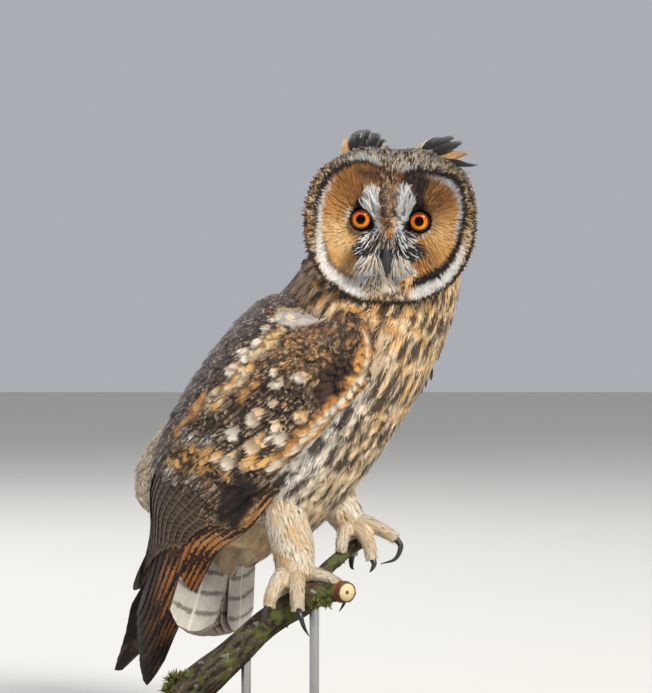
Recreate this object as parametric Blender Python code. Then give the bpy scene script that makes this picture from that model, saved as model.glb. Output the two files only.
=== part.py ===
"""A life-size long-eared owl on a cut branch, held by a plain display stand.

Metres, +Z up. The origin is the middle of the base's underside. The owl's face looks along -Y, and
its breast faces HEADING round from +X towards -Y, so that the head is turned over the right shoulder.
Places on the body are given as (forward, left, up) in the body's own directions.
"""

import math
import random

import bmesh
import bpy
from mathutils import Vector

GAP = 0.0003  # clearance between neighbouring pieces
HEADING = math.radians(30)  # from +X towards -Y, the way the breast faces
FORWARD = Vector((math.cos(HEADING), -math.sin(HEADING), 0.0))
LEFT = Vector((math.sin(HEADING), math.cos(HEADING), 0.0))
UP = Vector((0.0, 0.0, 1.0))

BASE_RADIUS, BASE_THICKNESS, BASE_BEVEL = 0.100, 0.010, 0.0025
ROD_RADIUS = 0.003
VANE_THICKNESS = 0.0008

# Sections of the trunk from the vent to the neck: forward, up, half depth, half width
TRUNK = (
    (-0.0550, 0.1180, 0.0170, 0.0170),
    (-0.0520, 0.1260, 0.0300, 0.0280),
    (-0.0460, 0.1370, 0.0405, 0.0360),
    (-0.0400, 0.1520, 0.0520, 0.0430),
    (-0.0235, 0.1713, 0.0565, 0.0475),
    (-0.0045, 0.1939, 0.0585, 0.0500),
    (0.0163, 0.2187, 0.0580, 0.0500),
    (0.0386, 0.2426, 0.0533, 0.0480),
    (0.0540, 0.2660, 0.0502, 0.0460),
)
NECK = (
    (0.0490, 0.2590, 0.0470, 0.0425),
    (0.0590, 0.2740, 0.0505, 0.0415),
    (0.0645, 0.2900, 0.0500, 0.0350),
    (0.0680, 0.3080, 0.0410, 0.0330),
)
TRUNK_SIDES, TRUNK_RINGS = 24, 13
# The full plumage of the rump behind the trunk: forward, up and radius from the back to the tail
RUMP = (
    (-0.0480, 0.2080, 0.0120),
    (-0.0740, 0.1830, 0.0180),
    (-0.0945, 0.1600, 0.0180),
    (-0.1020, 0.1450, 0.0130),
    (-0.1000, 0.1330, 0.0030),
)

HEAD_MIDDLE = Vector((0.0608, -0.042, 0.3160))
HEAD_YAW, HEAD_ROLL = math.radians(6), math.radians(2.0)
HEAD_BACK = 0.048  # from the middle of the head to the nape
RIM_FORWARD, DISC_DEPTH = 0.0300, 0.0050
RIM_EDGE = 0.004  # how far the edge of the rim falls back
# Radius of the facial disc at angles up from its side, the same on both sides
DISC_OUTLINE = (
    (-90, 0.0450),
    (-60, 0.0480),
    (-30, 0.0505),
    (0, 0.0515),
    (35, 0.0540),
    (62, 0.0505),
    (90, 0.0445),
)
HEAD_SIDES = 32
EYE_RADIUS, EYE_SPREAD, EYE_RISE, EYE_FORWARD = 0.0100, 0.0177, 0.0043, 0.0200
LID_RADIUS, LID_THICKNESS = 0.0082, 0.0013

# Folded wing from the wrist to the tips, on the right side: middle forward, left and up, half depth, half
# width, and the angles of its front and upper edges round the body, 0 being the breast and 180 the spine
WING = (
    (0.0481, 0.0, 0.2566, 0.0510, 0.0500, 80, 107),
    (0.0425, 0.0, 0.2477, 0.0540, 0.0535, 54, 140),
    (0.0331, 0.0, 0.2367, 0.0575, 0.0555, 46, 158),
    (0.0163, 0.0, 0.2187, 0.0610, 0.0570, 44, 166),
    (-0.0045, 0.0, 0.1939, 0.0616, 0.0570, 46, 168),
    (-0.0230, 0.0, 0.1710, 0.0605, 0.0550, 50, 168),
    (-0.0403, 0.0, 0.1492, 0.0560, 0.0510, 50, 168),
    (-0.0604, 0.0, 0.1312, 0.0447, 0.0418, 50, 166),
    (-0.0708, 0.0, 0.1068, 0.0327, 0.0340, 50, 165),
    (-0.0906, 0.0, 0.0731, 0.0245, 0.0210, 50, 160),
    (-0.1002, 0.0, 0.0530, 0.0220, 0.0180, 50, 150),
    (-0.1110, 0.0, 0.0290, 0.0180, 0.0140, 50, 140),
)
# The left wing's last sections, which cross behind the right wing's tip
LEFT_TIP = (
    (-0.0760, 0.0, 0.1068, 0.0327, 0.0340, 50, 165),
    (-0.1040, -0.0060, 0.0731, 0.0200, 0.0190, 60, 160),
    (-0.1170, -0.0110, 0.0520, 0.0160, 0.0150, 70, 150),
    (-0.1265, -0.0150, 0.0330, 0.0120, 0.0110, 80, 140),
)
WING_LEAN = math.radians(34)
WING_CORE_THICKNESS, WING_CORE_END, WING_CORE_RINGS, WING_CORE_ACROSS = 0.0075, 0.66, 10, 7
PRIMARIES, SECONDARIES, GREATER_COVERTS, MEDIAN_COVERTS, SCAPULARS = 7, 7, 7, 6, 5
VANE_SLOPE = 0.14

TAIL_ROOT, TAIL_TIP = (-0.0440, 0.0, 0.1450), (-0.0644, 0.0, 0.0570)
TAIL_TWIST, TAIL_FAN, RECTRICES = math.radians(20), math.radians(9), 10

# Legs and toes: places in the world's directions with the radius there, legs from the thigh to the ankle
LEGS = {
    "right": (
        (-0.010, -0.016, 0.156, 0.0190),
        (-0.006, -0.0195, 0.136, 0.0145),
        (-0.001, -0.022, 0.116, 0.0128),
        (0.000, -0.023, 0.103, 0.0112),
    ),
    "left": (
        (0.012, 0.010, 0.163, 0.0200),
        (0.022, 0.008, 0.149, 0.0150),
        (0.030, 0.005, 0.138, 0.0115),
        (0.035, 0.003, 0.130, 0.0095),
    ),
}
ANKLE_RADIUS = 0.0085  # where the toes start, inside the end of the leg
# Each toe from the ankle to its end
TOES = {
    "right": (
        ((-0.008, -0.030, 0.100, 0.0058), (-0.014, -0.036, 0.090, 0.0042), (-0.0155, -0.0375, 0.0835, 0.0036)),
        ((0.001, -0.032, 0.099, 0.0060), (0.0015, -0.038, 0.090, 0.0044), (0.0018, -0.0375, 0.0815, 0.0038)),
        ((0.010, -0.024, 0.102, 0.0050), (0.019, -0.026, 0.100, 0.0036), (0.0260, -0.029, 0.0965, 0.0030)),
        ((-0.004, -0.014, 0.098, 0.0055), (-0.006, -0.0085, 0.089, 0.0042), (-0.0065, -0.009, 0.080, 0.0034)),
    ),
    "left": (
        ((0.047, -0.003, 0.1300, 0.0050), (0.0560, -0.006, 0.1260, 0.0038), (0.0620, -0.007, 0.1225, 0.0034)),
        ((0.041, -0.005, 0.1270, 0.0052), (0.0455, -0.009, 0.1190, 0.0042), (0.0475, -0.010, 0.1105, 0.0036)),
        ((0.031, -0.006, 0.1260, 0.0048), (0.0290, -0.010, 0.1200, 0.0038), (0.0285, -0.0095, 0.1150, 0.0032)),
        ((0.036, 0.010, 0.1250, 0.0052), (0.0360, 0.0115, 0.1180, 0.0040), (0.0355, 0.011, 0.1110, 0.0034)),
    ),
}
TALON_RADIUS = 0.0021
TALON_TAPER = (1.0, 0.82, 0.55, 0.12)
# Each talon from the toe to its point
TALONS = {
    "right": (
        (
            (-0.0165, -0.0385, 0.0835), (-0.0185, -0.0400, 0.0785),
            (-0.0178, -0.0395, 0.0735), (-0.0150, -0.0370, 0.0700),
        ),
        (
            (0.0020, -0.0390, 0.0820), (0.0035, -0.0430, 0.0775),
            (0.0058, -0.0435, 0.0705), (0.0088, -0.0410, 0.0650),
        ),
        (
            (0.0265, -0.0295, 0.0965), (0.0300, -0.0320, 0.0915),
            (0.0305, -0.0320, 0.0850), (0.0275, -0.0290, 0.0790),
        ),
        (
            (-0.0068, -0.0085, 0.0795), (-0.0066, -0.0078, 0.0745),
            (-0.0058, -0.0095, 0.0700), (-0.0045, -0.0130, 0.0670),
        ),
    ),
    "left": (
        (
            (0.0625, -0.0072, 0.1220), (0.0655, -0.0080, 0.1170),
            (0.0620, -0.0090, 0.1095), (0.0530, -0.0090, 0.1065),
        ),
        (
            (0.0478, -0.0105, 0.1100), (0.0490, -0.0120, 0.1070),
            (0.0480, -0.0125, 0.1040), (0.0462, -0.0115, 0.1015),
        ),
        (
            (0.0284, -0.0095, 0.1145), (0.0280, -0.0095, 0.1115),
            (0.0290, -0.0075, 0.1080), (0.0310, -0.0045, 0.1065),
        ),
        (
            (0.0354, 0.0112, 0.1105), (0.0350, 0.0110, 0.1065),
            (0.0352, 0.0080, 0.1030), (0.0365, 0.0040, 0.1020),
        ),
    ),
}

# Bill: places on the head as side, crown and face, with the radius there
BILL_UPPER = (
    (0.0, -0.0040, 0.0320, 0.0038),
    (0.0, -0.0130, 0.0385, 0.0045),
    (0.0, -0.0215, 0.0390, 0.0034),
    (0.0, -0.0300, 0.0345, 0.0007),
)
BILL_LOWER = (
    (0.0, -0.0160, 0.0270, 0.0040),
    (0.0, -0.0200, 0.0315, 0.0036),
    (0.0, -0.0235, 0.0335, 0.0026),
    (0.0, -0.0265, 0.0335, 0.0010),
)
BILL_DEPTH = 1.25  # its height to its width
NOSTRIL = (0.0033, -0.0135, 0.0415)
NOSTRIL_RADIUS = 0.0012

# Ear tufts: each feather's root side and root rise on the brow, its tip side and tip rise, and its half
# width; the feathers lie back over the crown by TUFT_BACK
TUFT_FACE, TUFT_BACK, TUFT_STEPS = 0.0180, 0.030, 5
TUFT_CORE = (0.0110, 0.0110, 0.0040)  # half sizes of the low root that the feathers share
TUFTS = {
    "ear_tuft_right": (
        (-0.0300, 0.0430, -0.0275, 0.0535, 0.0032),
        (-0.0240, 0.0450, -0.0210, 0.0585, 0.0056),
        (-0.0180, 0.0455, -0.0160, 0.0575, 0.0056),
        (-0.0125, 0.0455, -0.0100, 0.0545, 0.0054),
        (-0.0080, 0.0450, -0.0060, 0.0500, 0.0040),
    ),
    "ear_tuft_left": (
        (0.0150, 0.0455, 0.0255, 0.0560, 0.0050),
        (0.0190, 0.0450, 0.0325, 0.0565, 0.0056),
        (0.0230, 0.0440, 0.0395, 0.0530, 0.0054),
        (0.0260, 0.0425, 0.0450, 0.0465, 0.0046),
        (0.0280, 0.0405, 0.0500, 0.0385, 0.0036),
        (0.0295, 0.0385, 0.0490, 0.0335, 0.0032),
    ),
}

# Perch: places along its middle in the world's directions, with the radius there
BRANCH = (
    (-0.0713, -0.0310, 0.0245, 0.0125),
    (-0.0384, -0.0290, 0.0521, 0.0098),
    (-0.0198, -0.0270, 0.0694, 0.0088),
    (0.0056, -0.0245, 0.0856, 0.0086),
    (0.0186, -0.0245, 0.0905, 0.0075),
    (0.0316, -0.0265, 0.0918, 0.0066),
)
FORK = (
    (0.0062, -0.0250, 0.0900, 0.0046),
    (0.0192, -0.0140, 0.1035, 0.0042),
    (0.0353, -0.0030, 0.1160, 0.0038),
    (0.0460, 0.0015, 0.1205, 0.0034),
)
BARK_ROUGHNESS = 0.07  # share of the radius by which the bark's lumps rise and fall
RODS = (((-0.0300, -0.0284), 0.060), ((0.0120, -0.0246), 0.088))


def clear_scene():
    for obj in list(bpy.data.objects):
        bpy.data.objects.remove(obj)


def material(name, colour, roughness, metallic=0.0):
    made = bpy.data.materials.new(name)
    made.use_nodes = True
    shader = made.node_tree.nodes["Principled BSDF"]
    shader.inputs["Base Color"].default_value = (*colour, 1.0)
    shader.inputs["Roughness"].default_value = roughness
    shader.inputs["Metallic"].default_value = metallic
    made.diffuse_color = (*colour, 1.0)
    return made


def body_point(forward, left, up):
    return FORWARD * forward + LEFT * left + UP * up


def mesh_object(name, points, faces, finish):
    """One object from points and faces, with its normals turned outwards."""
    mesh = bpy.data.meshes.new(name)
    mesh.from_pydata([tuple(p) for p in points], [], faces)
    shape = bmesh.new()
    shape.from_mesh(mesh)
    bmesh.ops.recalc_face_normals(shape, faces=shape.faces)
    shape.to_mesh(mesh)
    shape.free()
    mesh.shade_smooth()
    mesh.set_sharp_from_angle(angle=math.radians(40))
    mesh.materials.append(finish)
    obj = bpy.data.objects.new(name, mesh)
    bpy.context.scene.collection.objects.link(obj)
    return obj


def between(p0, p1, p2, p3, t):
    """A place on the Catmull-Rom curve from p1 to p2."""
    square = (2 * p0 - 5 * p1 + 4 * p2 - p3) * t * t
    cube = (3 * p1 - p0 - 3 * p2 + p3) * t**3
    return 0.5 * (2 * p1 + (p2 - p0) * t + square + cube)


def smooth_through(rows, count):
    """Values at count even steps on a Catmull-Rom curve through the rows, each a tuple of numbers."""
    rows = [Vector(r) for r in rows]
    last = len(rows) - 1
    made = []
    for k in range(count):
        place = last * k / (count - 1)
        i = min(int(place), last - 1)
        t = place - i
        p1, p2 = rows[i], rows[i + 1]
        p0 = rows[i - 1] if i else p1 * 2 - p2
        p3 = rows[i + 2] if i + 2 <= last else p2 * 2 - p1
        made.append(between(p0, p1, p2, p3, t))
    return made


def loft(name, rings, finish, round_ends=(False, False)):
    """A closed skin over rings of points, its ends flat or drawn to their middles."""
    sides = len(rings[0])
    points = [p for ring in rings for p in ring]
    faces = []
    for r in range(len(rings) - 1):
        for s in range(sides):
            a, b = r * sides + s, r * sides + (s + 1) % sides
            faces.append((a, b, b + sides, a + sides))
    for end, first in ((0, 0), (1, (len(rings) - 1) * sides)):
        loop = list(range(first, first + sides))
        if round_ends[end]:
            points.append(sum((points[i] for i in loop), Vector()) / sides)
            faces += [(loop[i], loop[(i + 1) % sides], len(points) - 1) for i in range(sides)]
        else:
            faces.append(tuple(loop))
    return mesh_object(name, points, faces, finish)


def tube(name, path, radii, sides, finish, flatness=1.0, roughen=None):
    """A round bar along a path, its radius changing from point to point."""
    across = None
    rings = []
    for i, (centre, radius) in enumerate(zip(path, radii)):
        run = (path[min(i + 1, len(path) - 1)] - path[max(i - 1, 0)]).normalized()
        if across is None:
            across = run.orthogonal().normalized()
        across = (across - run * across.dot(run)).normalized()
        other = run.cross(across) * flatness
        ring = []
        for s in range(sides):
            turn = 2 * math.pi * s / sides
            swell = radius * (roughen(i, s) if roughen else 1.0)
            ring.append(centre + (across * math.cos(turn) + other * math.sin(turn)) * swell)
        rings.append(ring)
    return loft(name, rings, finish)


def drawn_tube(name, spots, sides, rings, finish, **more):
    """A tube on a smooth curve through the spots, each a place and the radius there."""
    rows = smooth_through(spots, rings)
    return tube(name, [Vector(r[:3]) for r in rows], [r[3] for r in rows], sides, finish, **more)


def inflated(obj, extra):
    """A hidden copy of an object, grown along its normals, to cut its neighbours with."""
    mesh = obj.data.copy()
    shape = bmesh.new()
    shape.from_mesh(mesh)
    shape.normal_update()
    moves = [v.normal.copy() for v in shape.verts]
    for vertex, move in zip(shape.verts, moves):
        vertex.co += move * extra
    shape.to_mesh(mesh)
    shape.free()
    copy = bpy.data.objects.new(obj.name + "_cutter", mesh)
    copy.hide_render = True
    copy.display_type = "WIRE"
    bpy.context.scene.collection.objects.link(copy)
    return copy


def apply_boolean(obj, operation, solver, target=None, group=None):
    modifier = obj.modifiers.new(operation.title(), "BOOLEAN")
    modifier.operation = operation
    modifier.solver = solver
    if group:
        modifier.operand_type = "COLLECTION"
        modifier.collection = group
    else:
        modifier.object = target
    bpy.context.view_layer.update()
    evaluated = obj.evaluated_get(bpy.context.evaluated_depsgraph_get())
    mesh = bpy.data.meshes.new_from_object(evaluated)
    obj.modifiers.clear()
    obj.data = mesh


def fuse(obj, pieces, solver="MANIFOLD"):
    """Joins closed pieces to obj in one union, and keeps the largest closed surface."""
    group = bpy.data.collections.new(obj.name + "_pieces")
    bpy.context.scene.collection.children.link(group)
    for piece in pieces:
        bpy.context.scene.collection.objects.unlink(piece)
        group.objects.link(piece)
    apply_boolean(obj, "UNION", solver, group=group)
    for piece in pieces:
        bpy.data.objects.remove(piece)
    bpy.data.collections.remove(group)
    keep_largest(obj)
    return obj


def cut(obj, cutter, solver="MANIFOLD"):
    apply_boolean(obj, "DIFFERENCE", solver, target=cutter)
    keep_largest(obj)
    return obj


def keep_largest(obj):
    """Leaves only the closed surface of the greatest volume, which also fills sealed hollows."""
    shape = bmesh.new()
    shape.from_mesh(obj.data)
    bmesh.ops.triangulate(shape, faces=shape.faces)
    unseen = set(shape.faces)
    islands = []
    while unseen:
        island, stack = [], [unseen.pop()]
        while stack:
            face = stack.pop()
            island.append(face)
            for edge in face.edges:
                for other in edge.link_faces:
                    if other in unseen:
                        unseen.remove(other)
                        stack.append(other)
        volume = sum(f.verts[0].co.dot(f.verts[1].co.cross(f.verts[2].co)) for f in island) / 6
        islands.append((volume, island))
    islands.sort(key=lambda pair: pair[0])
    for _, island in islands[:-1]:
        bmesh.ops.delete(shape, geom=island, context="FACES")
    loose = [v for v in shape.verts if not v.link_faces]
    bmesh.ops.delete(shape, geom=loose, context="VERTS")
    shape.to_mesh(obj.data)
    shape.free()
    obj.data.shade_smooth()
    obj.data.set_sharp_from_angle(angle=math.radians(40))


def vane(name, centres, normals, halves, finish, slope=0.0):
    """A thin closed feather along its centres, with both faces split into triangles alike.

    halves are its half widths, normals the way its upper face looks, and slope raises its right edge
    and lowers its left one, so that neighbours overlap like tiles.
    """
    points, faces = [], []
    count = len(centres)
    for i in range(count):
        run = (centres[min(i + 1, count - 1)] - centres[max(i - 1, 0)]).normalized()
        side = run.cross(normals[i]).normalized()
        top = side.cross(run).normalized()
        for reach, face in ((-1, 0.5), (1, 0.5), (1, -0.5), (-1, -0.5)):
            rise = reach * halves[i] * slope + face * VANE_THICKNESS
            points.append(centres[i] + side * reach * halves[i] + top * rise)
    for i in range(count - 1):
        a, b = 4 * i, 4 * (i + 1)
        faces += [(a, a + 1, b + 1), (a, b + 1, b)]
        faces += [(a + 3, b + 2, a + 2), (a + 3, b + 3, b + 2)]
        faces += [(a + 1, a + 2, b + 2), (a + 1, b + 2, b + 1)]
        faces += [(a, b, b + 3), (a, b + 3, a + 3)]
    end = 4 * (count - 1)
    faces += [(0, 3, 2), (0, 2, 1), (end, end + 1, end + 2), (end, end + 2, end + 3)]
    return mesh_object(name, points, faces, finish)


# Trunk, neck and rump


def ring_at(section, run, sides):
    """The oval ring of one section, square to the run of the spine."""
    forward, up, depth, width = section
    middle = body_point(forward, 0.0, up)
    front = LEFT.cross(run).normalized()
    if front.dot(FORWARD) < 0:
        front = -front
    ring = []
    for s in range(sides):
        turn = 2 * math.pi * s / sides
        ring.append(middle + front * depth * math.cos(turn) + LEFT * width * math.sin(turn))
    return ring


def spine_loft(name, sections, rings, finish, ends=(False, False)):
    rows = smooth_through(sections, rings)
    made = []
    for i, row in enumerate(rows):
        before, after = rows[max(i - 1, 0)], rows[min(i + 1, rings - 1)]
        run = body_point(after[0] - before[0], 0.0, after[1] - before[1]).normalized()
        made.append(ring_at(row, run, TRUNK_SIDES))
    return loft(name, made, finish, ends)


def ball(name, middle, radii, finish, segments, rings):
    """An egg-shaped solid, its half sizes given forward, left and up."""
    shape = bmesh.new()
    bmesh.ops.create_uvsphere(shape, u_segments=segments, v_segments=rings, radius=1.0)
    for vertex in shape.verts:
        x, y, z = vertex.co
        vertex.co = middle + body_point(x * radii[0], y * radii[1], z * radii[2])
    mesh = bpy.data.meshes.new(name)
    shape.to_mesh(mesh)
    shape.free()
    mesh.shade_smooth()
    mesh.materials.append(finish)
    obj = bpy.data.objects.new(name, mesh)
    bpy.context.scene.collection.objects.link(obj)
    return obj


def make_trunk(plumage):
    trunk = spine_loft("torso", TRUNK, TRUNK_RINGS, plumage)
    spots = [(*body_point(forward, 0.0, up), radius) for forward, up, radius in RUMP]
    rump = drawn_tube("rump", spots, 12, 8, plumage)
    return fuse(trunk, [rump])


# Head: its own directions are face, side (the owl's left) and crown


def head_axes():
    face = Vector((-math.sin(HEAD_YAW), -math.cos(HEAD_YAW), 0.0))
    side = Vector((math.cos(HEAD_YAW), -math.sin(HEAD_YAW), 0.0))
    crown = UP * math.cos(HEAD_ROLL) + side * math.sin(HEAD_ROLL)
    side = side * math.cos(HEAD_ROLL) - UP * math.sin(HEAD_ROLL)
    return face, side, crown


FACE, SIDE, CROWN = head_axes()


def head_point(side, crown, face):
    return HEAD_MIDDLE + SIDE * side + CROWN * crown + FACE * face


def disc_radius(turn):
    """Radius of the facial disc at an angle round it, 0 at the owl's left and 90 degrees at the top."""
    angle = math.degrees(turn)
    angle = (angle + 180) % 360 - 180
    if abs(angle) > 90:
        angle = math.copysign(180, angle) - angle
    for (a, low), (b, high) in zip(DISC_OUTLINE, DISC_OUTLINE[1:]):
        if a <= angle <= b:
            t = (angle - a) / (b - a)
            t = t * t * (3 - 2 * t)
            return low + (high - low) * t
    return DISC_OUTLINE[-1][1]


def face_forward(x, z, share):
    """How far the face stands forward at a place on the disc; share is 0 in its middle and 1 at its rim."""
    dish = RIM_FORWARD - DISC_DEPTH * (1 - share**3)
    ridge = 0.0135 * math.exp(-((x / 0.0075) ** 2)) * math.exp(-(((z + 0.006) / 0.024) ** 2))
    brow = 0.0045 * math.exp(-(((abs(x) - 0.013) / 0.007) ** 2)) * math.exp(-(((z - 0.020) / 0.010) ** 2))
    hollow = 0.0020 * math.exp(-(((abs(x) - EYE_SPREAD) / 0.010) ** 2) - ((z - EYE_RISE) / 0.010) ** 2)
    return dish + ridge + brow - hollow


def make_head(plumage):
    rings = []
    for share in (0.16, 0.30, 0.44, 0.58, 0.74, 0.90):
        ring = []
        for s in range(HEAD_SIDES):
            turn = 2 * math.pi * s / HEAD_SIDES
            reach = disc_radius(turn) * share
            x, z = reach * math.cos(turn), reach * math.sin(turn)
            ring.append(head_point(x, z, face_forward(x, z, share)))
        rings.append(ring)
    rim_face = RIM_FORWARD - 0.001
    for back in (0.0, 0.16, 0.38, 0.60, 0.80, 0.94):
        ring = []
        for s in range(HEAD_SIDES):
            turn = 2 * math.pi * s / HEAD_SIDES
            crown_swell = 0.004 * max(math.sin(turn), 0.0) * math.sin(math.pi * min(back * 1.6, 1.0))
            reach = (disc_radius(turn) + crown_swell) * math.cos(back * math.pi / 2) ** 0.50
            face = rim_face - (rim_face + HEAD_BACK) * math.sin(back * math.pi / 2) ** 1.15
            if back == 0.0:
                face -= RIM_EDGE
            ring.append(head_point(reach * math.cos(turn), reach * math.sin(turn), face))
        rings.append(ring)
    return loft("head", rings, plumage, (True, True))


def make_eye(name, sign, finish):
    shape = bmesh.new()
    bmesh.ops.create_uvsphere(shape, u_segments=16, v_segments=10, radius=EYE_RADIUS)
    middle = head_point(sign * EYE_SPREAD, EYE_RISE, EYE_FORWARD)
    for vertex in shape.verts:
        x, y, z = vertex.co
        vertex.co = middle + SIDE * x + CROWN * y + FACE * z
    mesh = bpy.data.meshes.new(name)
    shape.to_mesh(mesh)
    shape.free()
    mesh.shade_smooth()
    mesh.materials.append(finish)
    eye = bpy.data.objects.new(name, mesh)
    bpy.context.scene.collection.objects.link(eye)
    return eye


def make_lid(sign, finish):
    """The ring of bare lid round an eye."""
    middle = head_point(sign * EYE_SPREAD, EYE_RISE, EYE_FORWARD + 0.0062)
    count = 16
    path = []
    for i in range(count + 1):
        turn = 2 * math.pi * i / count
        path.append(middle + SIDE * LID_RADIUS * math.cos(turn) + CROWN * LID_RADIUS * math.sin(turn))
    points, faces = [], []
    sides = 5
    for i in range(count):
        out = (path[i] - middle).normalized()
        for s in range(sides):
            turn = 2 * math.pi * s / sides
            points.append(path[i] + (out * math.cos(turn) + FACE * math.sin(turn)) * LID_THICKNESS)
    for i in range(count):
        for s in range(sides):
            a, b = i * sides, ((i + 1) % count) * sides
            t = (s + 1) % sides
            faces.append((a + s, a + t, b + t, b + s))
    return mesh_object("lid", points, faces, finish)


# Wings: the folded wing is a sheet bent round the body, named by its place along and across


def wing_section(side, along):
    """Middle, half depth, half width and the two edge angles of the folded wing; along is 0 to 1."""
    rows = WING if side < 0 else WING[: -len(LEFT_TIP)] + LEFT_TIP
    return smooth_at(rows, along)


def smooth_at(rows, share):
    """One value on a Catmull-Rom curve through the rows."""
    rows = [Vector(r) for r in rows]
    last = len(rows) - 1
    place = min(max(share, 0.0), 1.0) * last
    i = min(int(place), last - 1)
    t = place - i
    p1, p2 = rows[i], rows[i + 1]
    p0 = rows[i - 1] if i else p1 * 2 - p2
    p3 = rows[i + 2] if i + 2 <= last else p2 * 2 - p1
    return between(p0, p1, p2, p3, t)


def wing_point(side, along, across, lift=0.0):
    """A place on the folded wing; across is 0 at its front edge and 1 at its upper edge near the spine."""
    forward, left, up, depth, width, front, back = wing_section(side, along)
    turn = math.radians(front + (back - front) * across)
    lean = FORWARD * math.cos(WING_LEAN) - UP * math.sin(WING_LEAN)
    middle = body_point(forward, left, up)
    return middle + lean * (depth + lift) * math.cos(turn) + LEFT * side * (width + lift) * math.sin(turn)


def wing_normal(side, along, across):
    here = wing_point(side, along, across)
    return (wing_point(side, along, across, 0.002) - here).normalized()


def wing_vane(side, start, end, half, lifts, steps, sharp, finish):
    """One feather on the folded wing from start to end, each given as (along, across)."""
    centres, normals, halves = [], [], []
    for i in range(steps):
        t = i / (steps - 1)
        along = start[0] + (end[0] - start[0]) * t
        across = start[1] + (end[1] - start[1]) * t
        rise = lifts[0] + (lifts[1] - lifts[0]) * min(t * 1.6, 1.0)
        centres.append(wing_point(side, along, across, rise))
        normals.append(wing_normal(side, along, across))
        halves.append(half * vane_width(t, sharp))
    return vane("vane", centres, normals, halves, finish, slope=VANE_SLOPE * side)


def vane_width(t, sharp):
    """Share of a feather's full width at t along it, round at its tip and narrower at its root."""
    tip = math.sqrt(max(1.0 - ((t - 0.62) / 0.38) ** 2, 0.0)) if t > 0.62 else 1.0
    return max((0.55 + 0.45 * min(t / 0.35, 1.0)) * tip, sharp)


def wing_core(side, finish):
    """The flesh and small coverts of the folded wing, which the feathers grow from."""
    rings = []
    for i in range(WING_CORE_RINGS):
        t = i / (WING_CORE_RINGS - 1)
        along = WING_CORE_END * t
        if t < 0.5:
            swell = WING_CORE_THICKNESS * math.sin(math.pi * (0.10 + 1.1 * t)) ** 0.5
        else:
            swell = WING_CORE_THICKNESS * (1 - 0.55 * (2 * t - 1) ** 2)
        ring = []
        for s in range(WING_CORE_ACROSS + 1):
            across = s / WING_CORE_ACROSS
            edge = 0.35 + 0.65 * max(math.sin(math.pi * across), 0.0) ** 0.5
            ring.append(wing_point(side, along, across, -WING_CORE_THICKNESS + swell * edge))
        for s in range(WING_CORE_ACROSS, -1, -1):
            across = s / WING_CORE_ACROSS
            ring.append(wing_point(side, along, across, -WING_CORE_THICKNESS - 0.003))
        rings.append(ring)
    return loft("core", rings, finish)


def feather_tiers():
    """Each wing feather from under to over: root and tip along and across, half width, lifts, steps, point."""
    for t in evenly(PRIMARIES):
        lifts = (-0.0050, -0.0055 + 0.0035 * t)
        yield (0.60, 0.10 + 0.30 * t), (1.0 - 0.13 * t**1.5, 0.10 + 0.68 * t), 0.0062, lifts, 6, 0.25
    for t in evenly(SECONDARIES):
        yield (0.50, 0.18 + 0.70 * t), (0.76 + 0.07 * t, 0.28 + 0.66 * t), 0.0085, (-0.0030, 0.0), 5, 0.35
    for t in evenly(GREATER_COVERTS):
        tip = (0.575 + 0.055 * t, 0.13 + 0.76 * t)
        yield (0.40 + 0.02 * t, 0.10 + 0.74 * t), tip, 0.0080, (-0.0020, 0.0022), 4, 0.35
    for t in evenly(MEDIAN_COVERTS):
        tip = (0.45 + 0.05 * t, 0.15 + 0.72 * t)
        yield (0.28 + 0.03 * t, 0.12 + 0.70 * t), tip, 0.0085, (-0.0015, 0.0034), 4, 0.35
    for t in evenly(SCAPULARS):
        tip = (0.34 + 0.26 * t, 0.83 + 0.06 * t)
        yield (0.16 + 0.20 * t, 0.80 - 0.04 * t), tip, 0.0095, (-0.0010, 0.0046), 4, 0.35


def evenly(count):
    return [i / (count - 1) for i in range(count)]


def make_wing(side, name, finish, keep_clear):
    core = wing_core(side, finish)
    core.name = name
    vanes = [wing_vane(side, *feather, finish) for feather in feather_tiers()]
    fuse(core, vanes)
    for other in keep_clear:
        cut(core, inflated(other, GAP))
    return core


# Tail


def tail_axes():
    side = LEFT * math.cos(TAIL_TWIST) + FORWARD * math.sin(TAIL_TWIST)
    under = FORWARD * math.cos(TAIL_TWIST) - LEFT * math.sin(TAIL_TWIST)
    down = (body_point(*TAIL_TIP) - body_point(*TAIL_ROOT)).normalized()
    under = (under - down * under.dot(down)).normalized()
    side = (side - down * side.dot(down)).normalized()
    return down, side, under


def make_tail(finish, keep_clear):
    down, side, under = tail_axes()
    root = body_point(*TAIL_ROOT)
    length = (body_point(*TAIL_TIP) - root).length
    rings = []
    for i in range(8):
        t = i / 7
        centre = root + down * length * (-0.06 + 0.58 * t) + under * 0.004 * (1 - t)
        wide = 0.0175 * math.sqrt(max(1 - (1.02 * t) ** 3, 0.02)) * (0.75 + 0.25 * min(t * 4, 1.0))
        deep = 0.0120 * math.sqrt(max(1 - (1.02 * t) ** 2, 0.02))
        turns = [2 * math.pi * k / 14 for k in range(14)]
        rings.append([centre + side * wide * math.cos(a) + under * deep * math.sin(a) for a in turns])
    tail = loft("tail", rings, finish)
    vanes = []
    for k in range(RECTRICES):
        place = k - (RECTRICES - 1) / 2
        out = place / ((RECTRICES - 1) / 2)
        fan = TAIL_FAN * out
        lead = (down * math.cos(fan) + side * math.sin(fan)).normalized()
        centres, normals, halves = [], [], []
        reach = length * (1.0 - 0.05 * abs(out) ** 2)
        for i in range(5):
            t = i / 4
            droop = under * (0.0012 * abs(place) + 0.004 * out * out * t)
            centres.append(root + side * 0.0075 * out + lead * reach * t + droop)
            normals.append((under + side * 0.35 * out).normalized())
            halves.append(0.0105 * vane_width(t, 0.40))
        vanes.append(vane("vane", centres, normals, halves, finish))
    fuse(tail, vanes)
    for other in keep_clear:
        cut(tail, inflated(other, GAP))
    return tail


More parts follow.
